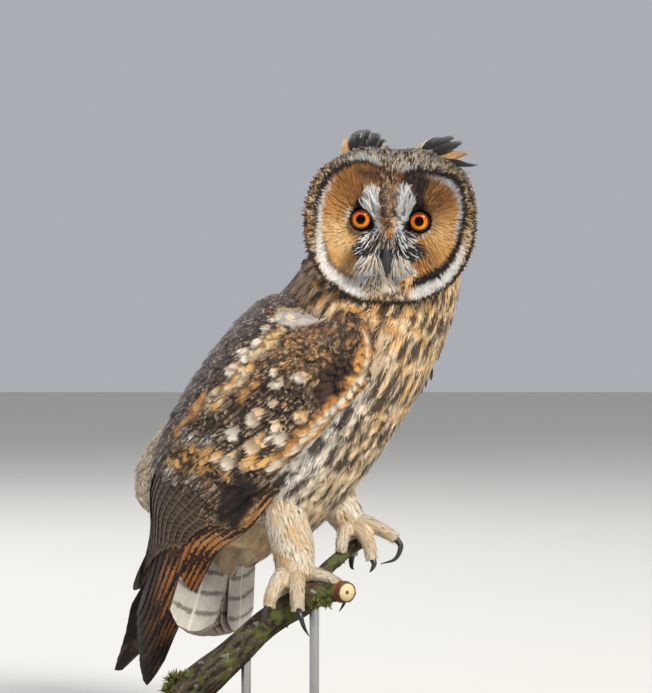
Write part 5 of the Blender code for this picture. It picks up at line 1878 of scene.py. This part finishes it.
def makeTail(finish):
    dice = np.random.default_rng(91)
    over = left * math.cos(tail["twist"]) + forward * math.sin(tail["twist"])
    under = forward * math.cos(tail["twist"]) - left * math.sin(tail["twist"])
    root = tail["root"][0] * forward + tail["root"][2] * up
    tip = tail["tip"][0] * forward + tail["tip"][2] * up
    length = np.linalg.norm(tip - root)
    down = unit(tip - root)
    under = unit(under - down * (under @ down))
    over = unit(over - down * (over @ down))
    f = tailFeathers
    n = f["count"]
    place = (arange(n) - (n - 1) / 2) * 9 / (n - 1)
    out = place / 4.5
    fan = tail["fan"] * out
    lead = unit(cos(fan)[:, None] * down + sin(fan)[:, None] * over)
    s = linspace(0, 1, 18)
    reach = length * (1.0 - 0.05 * out**2)
    droop = 0.0004 * np.abs(place)[:, None] + 0.004 * out[:, None] ** 2 * s[None]
    centre = (
        root + over * (0.0075 * out)[:, None, None] + lead[:, None] * (reach[:, None] * s[None])[..., None]
        + under * droop[..., None]
    )
    normal = np.broadcast_to(unit(under + over * (0.35 * out)[:, None])[:, None], centre.shape)
    looks = look(
        n, dice, blend(f["inner"], f["outer"], np.abs(out)), f["bar"], pale=f["edge"], bars=0.85,
        count=f["bars"], mottle=0.1, fringe=0.15, rootShade=0.05, jitter=0.05
    )
    bake, cell = cells(n, f["box"])
    coat = Coat("tailFeathers")
    coat.addVane(
        centre, normal, full(n, f["half"]), looks, bake, columns=8, tip=0.12, cup=-0.015, slope=0.03 * out,
        notch=0.005, cell=cell, seed=93
    )
    top = look(
        n, dice, f["top"], f["topBar"], pale=f["topEdge"], bars=0.85, count=f["bars"], mottle=0.4,
        fringe=0.2, rootShade=0.05
    )
    coat.addVane(
        centre - under * 0.0004, -normal, full(n, f["half"]), top, bake, columns=8, tip=0.12, cup=0.015,
        slope=0.03 * out, notch=0.005, cell=cell, seed=93
    )
    for path, radii in tailCoverts["tubes"]:
        softCoat(coat, tubeSurface(path, radii, flat=True), tailCoverts, dice)
    coat.build(finish, "flight_feathers", ("tail",))


# Ear tufts

tufts = {
    # root across and up, tip across and up, half width in millimetres, tone, pale edge
    "right": (
        (-30.0, 43.0, -28.0, 53.5, 3.4, srgb(190, 150, 100), 0.3),
        (-24.5, 45.0, -22.5, 58.0, 5.0, srgb(10, 8, 9), 0.05),
        # the pale fringe of this feather, strongest at its tip, is a painted highlight on the black tuft
        (-19.5, 45.5, -18.5, 58.6, 5.2, srgb(9, 7, 8), 0.55),
        (-15.0, 45.5, -13.0, 57.0, 4.8, srgb(10, 8, 9), 0.15),
        (-11.0, 45.2, -8.5, 53.5, 4.4, srgb(16, 12, 12), 0.85),
        (-8.0, 44.5, -5.5, 49.5, 3.6, srgb(120, 104, 88), 0.8),
    ),
    "left": (
        (14.0, 45.0, 20.0, 52.0, 4.4, srgb(170, 134, 92), 0.5),
        (16.0, 45.5, 26.5, 56.0, 5.0, srgb(12, 9, 9), 0.75),
        (19.5, 45.0, 32.5, 56.6, 5.2, srgb(9, 7, 8), 0.1),
        (22.5, 44.0, 39.0, 53.5, 5.2, srgb(10, 8, 8), 0.05),
        (25.5, 42.5, 43.0, 47.0, 4.6, srgb(168, 128, 80), 0.3),
        (27.0, 41.5, 49.5, 40.0, 3.4, srgb(12, 9, 9), 0.05),
        (28.5, 40.0, 46.5, 35.0, 3.6, srgb(186, 146, 94), 0.3),
    ),
    "face": 0.018,
    "back": 0.03,
    "copies": 5,
    "mark": srgb(22, 18, 18),
    "edge": srgb(222, 212, 196),
}


def makeTufts(finish):
    dice = np.random.default_rng(101)
    coat = Coat("earTufts")
    s = linspace(0, 1, 12)[None]
    rise = sin(s * math.pi / 2)
    for ear in ("right", "left"):
        for k, (x0, z0, x1, z1, half, tone, edge) in enumerate(tufts[ear]):
            n = tufts["copies"]
            shift = linspace(-1, 1, n)[:, None]
            tipX = x1 + 1.1 * shift + dice.normal(0, 0.4, (n, 1))
            tipZ = z1 - 1.2 * np.abs(shift) + dice.normal(0, 0.35, (n, 1))
            x = (x0 + 0.8 * shift + (tipX - x0 - 0.8 * shift) * (0.4 * s + 0.6 * rise)) / 1000
            z = (z0 + (tipZ - z0) * rise) / 1000
            y = (
                tufts["face"] + 0.0008 * (k % 2) + 0.0005 * dice.uniform(-1, 1, (n, 1))
                - tufts["back"] * dice.uniform(0.7, 0.95, (n, 1)) * s**2
            )
            centre = headPoint(x, z, y)
            normal = unit(crown * s[..., None] + face * (1.15 - s)[..., None] + 0 * centre)
            looks = look(
                n, dice, tone, tufts["mark"], pale=tufts["edge"], fringe=edge, mottle=0.3, rootShade=0.0,
                jitter=0.1
            )
            halves = half / 1000 * (0.62 + 0.1 * dice.uniform(-1, 1, n))
            coat.add(
                centre, normal, halves, looks,
                chart(x[:, 0], z[:, 0], (0.02, 0.32, 0.3, 0.36), (-0.05, 0.05), (0.03, 0.06)), strips=9,
                tip=0.4, fray=0.1, cup=0.2, seed=int(dice.integers(1e6))
            )
    coat.build(finish, "plumage", ("ear_tuft_right", "ear_tuft_left"))


# Eyes and lids

eyeball = {
    "pupilHalf": 0.0029,
    "cornea": 0.0007,
    "lidOuter": 0.0066,
    "open": 0.0062,
    "corneaHalf": 0.0068,
    # share of the way from the inner to the outer edge of the lid, and lift
    "lidRings": (
        (-0.06, -0.0014), (0.0, 0.0004), (0.1, 0.001), (0.3, 0.0012), (0.62, 0.0006), (1.0, -0.002)
    ),
    # the iris runs from a darker top to a lighter bottom: painted shade at the top and painted light at the
    # bottom
    "amber": srgb(198, 76, 2),
    "gold": srgb(252, 150, 12),
    "fibre": srgb(160, 48, 2),
    "outerRing": srgb(70, 20, 3),
    "innerRing": srgb(120, 34, 2),
    "pupil": srgb(3, 2, 2),
}


def eyeFinish():
    f = Finish(
        "owlEye", {"Roughness": 0.4, "Coat Weight": 0.22, "Coat Roughness": 0.02, "Specular IOR Level": 0.0}
    )
    u, v = f.unwrap("iris")
    x, z = (u - 0.5) * 20.0, (v - 0.5) * 20.0
    r = (x * x + z * z).maths("SQRT")
    turn = x.maths("ARCTAN2", z)
    fibres = f.noise(f.vector(turn * 9.0, r * 0.35, 0.0), 1.6, 3.0)
    # darker at the top and lighter at the bottom of the iris: painted shade and painted light
    iris = f.mix((z * -0.15 + 0.45).maths("ADD", 0.0, clamp=True), eyeball["amber"], eyeball["gold"])
    iris = f.mix(fibres.above(0.52, 0.18) * 0.35, iris, eyeball["fibre"])
    iris = f.mix(r.above(4.9, 0.7) * 0.85, iris, eyeball["outerRing"])
    iris = f.mix((1.0 - r.above(3.3, 0.5)) * 0.5, iris, eyeball["innerRing"])
    pupil = 1.0 - r.above(eyeball["pupilHalf"] * 1000, 0.12)
    f.colour(f.mix(r.above(5.6, 0.2).maths("MAXIMUM", pupil), iris, eyeball["pupil"]))
    return f.material


def makeEye(sign, name, finish):
    bpy.ops.object.select_all(action="DESELECT")
    bpy.ops.mesh.primitive_uv_sphere_add(
        segments=64, ring_count=40, radius=eye["radius"], location=(0, 0, 0)
    )
    obj = bpy.context.object
    obj.name = name
    co = array([v.co for v in obj.data.vertices])
    # the pole of the ball looks out of the face, and the cornea stands a little proud
    out = co[:, 2]
    away = hypot(co[:, 0], co[:, 1])
    bulge = eyeball["cornea"] * clip(1 - (away / eyeball["corneaHalf"]) ** 2, 0, 1) * (out > 0)
    # beyond the lids the ball sinks under the face
    hidden = maximum(away - eyeball["open"], 0) * 2.2 * (out > 0)
    local = column_stack([co[:, 0], co[:, 1], out + bulge - hidden])
    middle = headPoint(sign * eye["spread"], eye["rise"], eye["forward"])
    points = middle + local[:, 0:1] * side + local[:, 1:2] * crown + local[:, 2:3] * face
    obj.data.vertices.foreach_set("co", points.astype(np.float32).ravel())
    layer = obj.data.uv_layers.new(name="iris")
    spots = array([loop.vertex_index for loop in obj.data.loops])
    uv = local[spots, :2] * 1000 / 20 + 0.5
    uv[local[spots, 2] < 0] = 0.98
    layer.data.foreach_set("uv", uv.astype(np.float32).ravel())
    choose(obj)
    bpy.ops.object.mode_set(mode="EDIT")
    bpy.ops.mesh.select_all(action="SELECT")
    bpy.ops.mesh.normals_make_consistent(inside=False)
    bpy.ops.object.mode_set(mode="OBJECT")
    bpy.ops.object.shade_smooth()
    obj.data.materials.clear()
    settle(obj, "eye", finish, replaced=(name.replace("Ball", ""),))


def makeLids(finish):
    objs = []
    for sign in (-1, 1):
        turns = linspace(0, 2 * math.pi, 72, endpoint=False)
        dz = sin(turns)
        dx = cos(turns)
        toBill = smooth(-dx, 0.55, 1.0)
        inner = (
            0.0058 - 0.0015 * maximum(dz, 0) ** 1.4 * (1 - 0.35 * dx)
            + 0.0012 * toBill * gauss(dz, -0.25, 0.35) - 0.0004 * maximum(-dz, 0) ** 2
        )
        rows = []
        for share, lift in eyeball["lidRings"]:
            rho = inner + (eyeball["lidOuter"] - inner) * share
            x = sign * (eye["spread"] + rho * dx)
            z = eye["rise"] + rho * dz
            ballY = eye["forward"] + sqrt(maximum(eye["radius"] ** 2 - rho**2, 1e-8))
            faceY = faceForward(x, z, discShare(x, z))
            blendOut = smooth(full(len(rho), share), 0.3, 1.0)
            rows.append(
                headPoint(x, z, ballY * (1 - blendOut) + maximum(faceY, ballY - 0.004) * blendOut + lift)
            )
        points = concatenate(rows)
        objs.append(meshFrom("lid", points, tubeFaces(len(rows), len(turns), closed=False)))
    obj = joined("lids", objs)
    applyModifier(obj, "SUBSURF", levels=1, render_levels=1)
    towardsFace(obj)
    settle(obj, "horn", finish)


def towardsFace(obj):
    # turns an open shell so that its faces look out of the face
    normals = array([p.normal for p in obj.data.polygons])
    if (normals @ face).mean() < 0:
        obj.data.flip_normals()


# Bill, talons

bill = {
    "upper": ((0.0, -0.004, 0.032), (0.0, -0.013, 0.0385), (0.0, -0.0215, 0.039), (0.0, -0.03, 0.0345)),
    "upperRadii": (0.0027, 0.0033, 0.0029, 0.0007),
    "lower": ((0.0, -0.016, 0.027), (0.0, -0.02, 0.0315), (0.0, -0.0235, 0.0335), (0.0, -0.0265, 0.0335)),
    "lowerRadii": (0.0032, 0.003, 0.0021, 0.0008),
    "nostril": (0.0033, -0.0135, 0.0415),
    "nostrilHalf": 0.0011,
    "nostrilDepth": 0.0011,
    "rings": 22,
    "sides": 28,
}


def hornFinish(name, light, dark, gloss):
    f = Finish(name, {"Roughness": gloss, "Coat Weight": 0.3, "Coat Roughness": 0.2})
    place = f.objectPlace()
    cloud = f.noise(place, 260.0, 3.0)
    grain = f.noise(f.scaled(place, (1.0, 1.0, 0.25)), 2200.0, 2.0)
    f.colour(f.mix(cloud.above(0.5, 0.2), dark, light))
    f.put(f.shader.inputs["Roughness"], cloud * 0.25 + gloss)
    f.bump(grain + cloud * 2.0, 0.0001, 0.6)
    return f.material


def roundTube(name, points, radii, sides=20, steps=24, deep=1.0, wobble=None):
    rows = curveThrough(column_stack([points, radii]), linspace(0, 1, steps))
    run = unit(np.gradient(rows[:, :3], axis=0))
    a = unit(np.cross(run, array((0.31, 0.77, 0.19))))
    b = unit(np.cross(run, a))
    turn = linspace(0, 2 * math.pi, sides, endpoint=False)
    radius = rows[:, 3:4] * (1 if wobble is None else wobble(linspace(0, 1, steps)[:, None], turn[None]))
    ring = (
        rows[:, None, :3]
        + radius[..., None]
        * (a[:, None] * cos(turn)[None, :, None] + b[:, None] * sin(turn)[None, :, None] * deep)
    )
    points = np.vstack([ring.reshape(-1, 3), rows[:1, :3], rows[-1:, :3]])
    return meshFrom(name, points, tubeFaces(steps, sides))


def makeBill(finish):
    for name, node in (("upper", "bill_upper"), ("lower", "bill_lower")):
        spots = array(bill[name])
        path = headPoint(spots[:, 0], spots[:, 1], spots[:, 2])
        rows = curveThrough(column_stack([path, bill[name + "Radii"]]), linspace(0, 1, bill["rings"]))
        run = unit(np.gradient(rows[:, :3], axis=0))
        out = unit(np.cross(side, run))
        out = where((out @ face)[:, None] < 0, -out, out)
        turn = linspace(0, 2 * math.pi, bill["sides"], endpoint=False)
        ridge = 1.25 + 0.12 * maximum(sin(turn), 0) ** 6
        ring = (
            rows[:, None, :3]
            + rows[:, 3][:, None, None]
            * (side * cos(turn)[None, :, None] + out[:, None] * (sin(turn) * ridge)[None, :, None])
        )
        if name == "upper":
            x, z, y = headPlace(ring.reshape(-1, 3))
            near = hypot(
                hypot(np.abs(x) - bill["nostril"][0], z - bill["nostril"][1]), y - bill["nostril"][2]
            )
            dent = bill["nostrilDepth"] * exp(-((near / bill["nostrilHalf"]) ** 2))
            middle = np.repeat(rows[:, :3], bill["sides"], axis=0)
            ring = (
                ring.reshape(-1, 3) + unit(middle - ring.reshape(-1, 3)) * dent[:, None]
            ).reshape(ring.shape)
        points = np.vstack([ring.reshape(-1, 3), rows[:1, :3], rows[-1:, :3]])
        obj = meshFrom("bill" + name.capitalize(), points, tubeFaces(bill["rings"], bill["sides"]))
        settle(obj, "horn", finish, replaced=(node,))


talons = {
    "radius": 0.0021,
    "taper": (1.0, 0.82, 0.55, 0.12),
    "right": (
        (
            (-0.0165, -0.0385, 0.0835), (-0.0185, -0.04, 0.0785), (-0.0178, -0.0395, 0.0735),
            (-0.015, -0.037, 0.07)
        ),
        (
            (0.002, -0.039, 0.082), (0.0035, -0.043, 0.0775), (0.0058, -0.0435, 0.0705),
            (0.0088, -0.041, 0.065)
        ),
        (
            (0.0265, -0.0295, 0.0965), (0.03, -0.032, 0.0915), (0.0305, -0.032, 0.085),
            (0.0275, -0.029, 0.079)
        ),
        (
            (-0.0068, -0.0085, 0.0795), (-0.0066, -0.0078, 0.0745), (-0.0058, -0.0095, 0.07),
            (-0.0045, -0.013, 0.067)
        ),
    ),
    "left": (
        (
            (0.0625, -0.0072, 0.122), (0.0655, -0.008, 0.117), (0.062, -0.009, 0.1095),
            (0.053, -0.009, 0.1065)
        ),
        (
            (0.0478, -0.0105, 0.11), (0.049, -0.012, 0.107), (0.048, -0.0125, 0.104),
            (0.0462, -0.0115, 0.1015)
        ),
        (
            (0.0284, -0.0095, 0.1145), (0.028, -0.0095, 0.1115), (0.029, -0.0075, 0.108),
            (0.031, -0.0045, 0.1065)
        ),
        ((0.0354, 0.0112, 0.1105), (0.035, 0.011, 0.1065), (0.0352, 0.008, 0.103), (0.0365, 0.004, 0.102)),
    ),
}


def makeTalons(finish):
    for leg in ("right", "left"):
        for k, spots in enumerate(talons[leg]):
            radii = [talons["radius"] * share for share in talons["taper"]]
            obj = roundTube(f"talon{leg.capitalize()}{k + 1}", array(spots), radii, sides=16, steps=18)
            settle(obj, "horn", finish, replaced=(f"talon_{leg}_{k + 1}",))


# Perch

perch = {
    "branch": (
        (-0.0713, -0.031, 0.0245), (-0.0384, -0.029, 0.0521), (-0.0198, -0.027, 0.0694),
        (0.0056, -0.0245, 0.0856), (0.0186, -0.0245, 0.0905), (0.0282, -0.029, 0.0916),
        (0.0322, -0.035, 0.0912)
    ),
    "branchRadii": (0.0125, 0.0098, 0.0088, 0.0086, 0.0075, 0.0066, 0.0064),
    "fork": (
        (0.0062, -0.025, 0.09), (0.0192, -0.014, 0.1035), (0.0353, -0.003, 0.116), (0.046, 0.0015, 0.1205)
    ),
    "forkRadii": (0.0046, 0.0042, 0.0038, 0.0034),
    "furrow": 0.1,
    "knots": ((0.22, 1.0), (0.47, 3.6), (0.66, 5.2), (0.86, 2.4)),  # share along and turn
    # the bark is dark in its furrows and paler on its ridges: partly its own colour, partly painted shade in
    # the furrows and painted highlight on the ridges
    "crack": srgb(26, 22, 19),
    "ridge": srgb(84, 76, 62),
    "brown": srgb(92, 70, 52),
    "lichen": srgb(158, 160, 140),
    "algae": srgb(86, 94, 44),
    "fresh": srgb(128, 72, 38),
    "wood": (srgb(226, 204, 160), srgb(178, 142, 96)),
    "pith": srgb(60, 42, 30),
    "cutEdge": srgb(74, 62, 50),
}


def barkFinish():
    f = Finish("barkWithLichen", {"Roughness": 0.85, "Specular IOR Level": 0.2})
    place = f.objectPlace()
    along = f.node("ShaderNodeVectorRotate", {"rotation_type": "Y_AXIS"}, {"Vector": place, "Angle": 0.72})
    long = f.scaled(along, (0.22, 1.0, 1.0))
    ridges = f.noise(long, 320.0, 5.0, 0.65)
    cloud = f.noise(place, 70.0, 3.0)
    spots = f.noise(place, 240.0, 4.0, 0.7)
    x, y = f.across(place)
    # dark in the furrows and paler on the ridges, where the bump is high: partly the bark's own colour, partly
    # painted shade and painted highlight
    colour = f.mix(ridges.above(0.5, 0.14), perch["crack"], perch["ridge"])
    colour = f.mix(cloud.above(0.55, 0.1) * 0.4, colour, perch["brown"])
    colour = f.mix(spots.above(0.62, 0.04) * cloud.above(0.45, 0.12) * 0.8, colour, perch["lichen"])
    colour = f.mix(f.noise(place, 110.0, 4.0).above(0.55, 0.06) * 0.75, colour, perch["algae"])
    colour = f.mix(((x - y) * 1000.0 + cloud * 6.0).above(61.0, 1.5) * 0.8, colour, perch["fresh"])
    f.colour(colour)
    f.bump(ridges * 1.5 + spots * 0.5, 0.0012, 0.9)
    return f.material


def cutFinish():
    f = Finish("sawnWood", {"Roughness": 0.7})
    place = f.node(
        "ShaderNodeVectorMath", {"operation": "SUBTRACT"}, {0: f.objectPlace(), 1: perch["branch"][-1]}
    )
    r = f.node("ShaderNodeVectorMath", {"operation": "LENGTH"}, {0: place}, out="Value") * 1000.0
    rings = (r * 7.0 + f.noise(place, 300.0) * 5.0).maths("SINE") * 0.5 + 0.5
    colour = f.mix(rings * 0.5, *perch["wood"])
    colour = f.mix(1.0 - r.above(1.2, 0.5), colour, perch["pith"])
    f.colour(f.mix(r.above(5.4, 0.5), colour, perch["cutEdge"]))
    f.bump(rings, 0.0002, 0.5)
    return f.material


def makePerch(bark, sawn):
    def furrows(seed):
        def wobble(t, turn):
            wave = (
                0.5 * sin(turn * 7 + 4 * sin(t * 9 + seed))
                + 0.5 * sin(turn * 11 - 5 * sin(t * 14 + seed * 2))
            )
            knots = sum(
                0.16 * exp(-(((t - a) / 0.035) ** 2)) * exp(-((np.angle(exp(1j * (turn - b))) / 0.5) ** 2))
                for a, b in perch["knots"]
            )
            return 1 + perch["furrow"] * 0.5 * wave * np.abs(sin(t * 21 + turn * 2)) + knots

        return wobble

    branch = roundTube(
        "perchBranch", array(perch["branch"]), perch["branchRadii"], sides=72, steps=150, wobble=furrows(1.3)
    )
    fork = roundTube(
        "perchFork", array(perch["fork"]), perch["forkRadii"], sides=40, steps=70, wobble=furrows(2.9)
    )
    for obj, node in ((branch, "perch_branch"), (fork, "perch_fork")):
        settle(obj, "bark", bark, sawn, replaced=(node,))
    last = len(branch.data.vertices) - 1
    for polygon in branch.data.polygons:
        if last in polygon.vertices:
            polygon.material_index = 1


moss = {
    # middle and radius of each cushion
    "cushions": (
        ((-0.0725, -0.034, 0.0365), 0.006), ((-0.0675, -0.035, 0.0385), 0.004),
        ((-0.0765, -0.036, 0.031), 0.005), ((0.0125, -0.0345, 0.0835), 0.004),
        ((0.0195, -0.035, 0.084), 0.0034)
    ),
    "light": srgb(168, 164, 70),
    "dark": srgb(74, 82, 34),
    "strands": 2.2e7,  # times the square of the cushion's radius
    "half": 0.00045,
}


def makeMoss(finish):
    dice = np.random.default_rng(131)
    coat = Coat("moss")
    for middle, radius in moss["cushions"]:
        n = int(moss["strands"] * radius**2)
        aim = unit(dice.normal(0, 1, (n, 3)) * (1.2, 1.0, 0.7) + (0, -0.3, 0.4))
        root = array(middle) + aim * radius * 0.25
        reach = radius * dice.uniform(0.45, 1.0, n) * (0.7 + 0.5 * dice.uniform(0, 1, n))
        s = linspace(0, 1, 4)[None, :, None]
        bend = dice.normal(0, 0.25, (n, 3))
        centre = root[:, None] + (aim[:, None] * s + bend[:, None] * s**2) * reach[:, None, None]
        normal = (
            unit(np.cross(centre[:, -1] - centre[:, 0], dice.normal(0, 1, (n, 3))))[:, None] + 0 * centre
        )
        tone = blend(moss["dark"], moss["light"], dice.uniform(0, 1, n))
        looks = look(n, dice, tone, moss["dark"], rootShade=0.4, jitter=0.15)
        coat.add(
            centre, normal, full(n, moss["half"]), looks,
            column_stack([0.3 + 0.02 * dice.uniform(0, 1, n), 0.02 + 0.02 * dice.uniform(0, 1, n)]),
            strips=1, rootWidth=0.9, seed=133
        )
    coat.build(finish, "bark")


# Stand

stand = {
    "grain": (srgb(62, 38, 24), srgb(122, 80, 50)),
    "pores": srgb(38, 24, 16),
    "steel": (srgb(150, 150, 152), srgb(205, 205, 207)),
}


def woodFinish():
    f = Finish("standWalnut", {"Roughness": 0.4, "Coat Weight": 0.25, "Coat Roughness": 0.25})
    place = f.scaled(f.objectPlace(), (1.0, 14.0, 14.0))
    grain = f.noise(place, 14.0, 6.0, 0.6)
    pores = f.noise(f.scaled(f.objectPlace(), (1.0, 30.0, 30.0)), 60.0, 2.0)
    colour = f.mix(grain, *stand["grain"])
    f.colour(f.mix(pores.above(0.62, 0.05) * 0.6, colour, stand["pores"]))
    f.put(f.shader.inputs["Roughness"], grain * 0.2 + 0.32)
    f.bump(pores, 0.0001, 0.4)
    return f.material


def steelFinish():
    f = Finish("brushedRod", {"Metallic": 1.0, "Roughness": 0.3})
    brushed = f.noise(f.scaled(f.objectPlace(), (1.0, 1.0, 0.05)), 4000.0, 2.0)
    f.colour(f.mix(brushed, *stand["steel"]))
    f.put(f.shader.inputs["Roughness"], brushed * 0.25 + 0.2)
    f.bump(brushed, 0.00005, 0.4)
    return f.material


def skinFinish():
    f = Finish("skinUnderPlumage", {"Roughness": 0.8, "Specular IOR Level": 0.2})
    tone = f.attribute("tone")
    grain = f.noise(f.objectPlace(), 900.0, 3.0)
    f.colour(f.mix(1.0, tone, f.grey(grain * 0.5 + 0.55), "MULTIPLY"))
    f.bump(grain, 0.0004, 0.8)
    return f.material


def paintSkin(obj):
    # the skin carries the coat's markings, with the face's painted highlights and painted shadow, read from
    # the same functions
    points = array([v.co for v in obj.data.vertices])
    dice = np.random.default_rng(5)
    t, phi, _ = trunkPlace(points)
    tone = trunkTone(t, phi, full(len(t), 0.5))
    x, z, y = headPlace(points)
    onHead = (y > -0.05) & (hypot(x, z) < 0.056) & (points[:, 2] > 0.268)
    onFace = onHead & (y > 0.018)
    tone[onHead] = colours["crown"]
    tone[onFace] = faceTone(x[onFace] * 1000, z[onFace] * 1000, dice.uniform(0, 1, onFace.sum()))
    low = points[:, 2] < 0.15
    tone[low] = skin["low"]
    layer = obj.data.attributes.new("tone", "FLOAT_COLOR", "POINT")
    layer.data.foreach_set("color", column_stack([tone, np.ones(len(tone))]).astype(np.float32).ravel())


# The whole bird

skinPiece = makeSkin()
paintSkin(skinPiece)
skinPiece.data.materials.clear()
skinNodes = ("head", "neck", "torso", "leg_right", "leg_left", "foot_right", "foot_left")
settle(skinPiece, "plumage", skinFinish(), replaced=skinNodes)
print("skin:", len(skinPiece.data.polygons) * 2, "triangles")

plumage = featherFinish("plumage")
quills = featherFinish("flightFeathers", barbRows=70.0, shine=0.5, shaft=0.3)
tailQuills = featherFinish(
    "tailFeathers", barbRows=70.0, shine=0.5, shaft=0.8, barEdge=0.82, barBend=0.25, barWobble=0.3
)
makeFace(featherFinish("faceFeathers", barbRows=12.0))
cover = coverTree()
makeBody(plumage, cover)
makeRump(plumage)
makeHeadCoat(plumage)
makeLegCoat(featherFinish("legDown", barbRows=16.0))
makeFlight(-1, "right", quills, (0.02, 0.38, 0.16, 0.52))
makeFlight(1, "left", quills, (0.16, 0.38, 0.3, 0.52))
makeCoverts(-1, "right", plumage, (0.02, 0.54, 0.15, 0.68))
makeCoverts(1, "left", plumage, (0.17, 0.54, 0.3, 0.68))
makeTail(tailQuills)
makeTufts(plumage)
print("plumage done")

eyes = eyeFinish()
makeEye(-1, "eye_rightBall", eyes)
makeEye(1, "eye_leftBall", eyes)
makeLids(hornFinish("lidSkin", srgb(34, 30, 28), srgb(14, 12, 12), 0.45))
horn = hornFinish("horn", srgb(46, 43, 43), srgb(14, 12, 13), 0.32)
makeBill(horn)
makeTalons(horn)
makePerch(barkFinish(), cutFinish())
makeMoss(plumage)
wood, steel = woodFinish(), steelFinish()
for name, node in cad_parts.items():
    if name.startswith("stand_"):
        node.data.materials.clear()
        node.data.materials.append(wood if name == "stand_base" else steel)
print("eyes, bill, talons, perch and stand done")

# Floor, light and camera

studio = {
    "floor": srgb(204, 202, 197),
    # place, power and size of each lamp
    "key": (1.25, -1.5, 1.9, 88.0, 0.6),
    "fill": (-1.6, -1.2, 1.0, 10.0, 1.6),
    "rim": (-0.6, 1.5, 1.5, 26.0, 1.0),
    "photoScale": 0.00062,  # metres for each pixel of the photograph at the owl
    "photoSize": (652, 693),
    "photoOrigin": (295, 735),  # column and row of the frame's origin
    "distance": 3.0,
    "sun": (1.0, 0.95, 0.86),
    "sky": (0.95, 0.97, 1.0),
    "world": (0.9, 0.93, 1.0, 1.0),
    "worldStrength": 0.45,
    "elevation": math.radians(2.5),
}

bpy.ops.object.select_all(action="DESELECT")
bpy.ops.mesh.primitive_plane_add(size=8, location=(0, 0, 0))
floor = bpy.context.object
floor.name = "floor"
floorFinish = Finish("paleFloor", {"Roughness": 0.85})
floorFinish.colour(
    floorFinish.mix(
        floorFinish.noise(floorFinish.objectPlace(), 3.0), studio["floor"], studio["floor"] * 0.95
    )
)
floor.data.materials.append(floorFinish.material)
for key in ("key", "fill", "rim"):
    x, y, z, power, size = studio[key]
    light = bpy.data.lights.new(key + "Light", "AREA")
    light.energy = power
    light.size = size
    light.color = studio["sun"] if key == "key" else studio["sky"]
    lamp = bpy.data.objects.new(key + "Light", light)
    lamp.location = (x, y, z)
    lamp.rotation_euler = (Vector((0.02, 0, 0.22)) - lamp.location).to_track_quat("-Z", "Y").to_euler()
    bpy.context.scene.collection.objects.link(lamp)
world = bpy.data.worlds.new("studio")
bpy.context.scene.world = world
world.use_nodes = True
background = world.node_tree.nodes["Background"]
background.inputs["Color"].default_value = studio["world"]
background.inputs["Strength"].default_value = studio["worldStrength"]
bpy.context.scene.view_settings.view_transform = "Standard"

photoWide, photoHigh = studio["photoSize"]
lens = bpy.data.cameras.new("photoCamera")
lens.lens = 36 * studio["distance"] / (photoHigh * studio["photoScale"])
camera = bpy.data.objects.new("photoCamera", lens)
column, row = studio["photoOrigin"]
target = Vector(
    ((photoWide / 2 - column) * studio["photoScale"], 0, (row - photoHigh / 2) * studio["photoScale"])
)
away = Vector((0, -math.cos(studio["elevation"]), math.sin(studio["elevation"])))
camera.location = target + away * studio["distance"]
camera.rotation_euler = (-away).to_track_quat("-Z", "Y").to_euler()
bpy.context.scene.collection.objects.link(camera)
bpy.context.scene.camera = camera
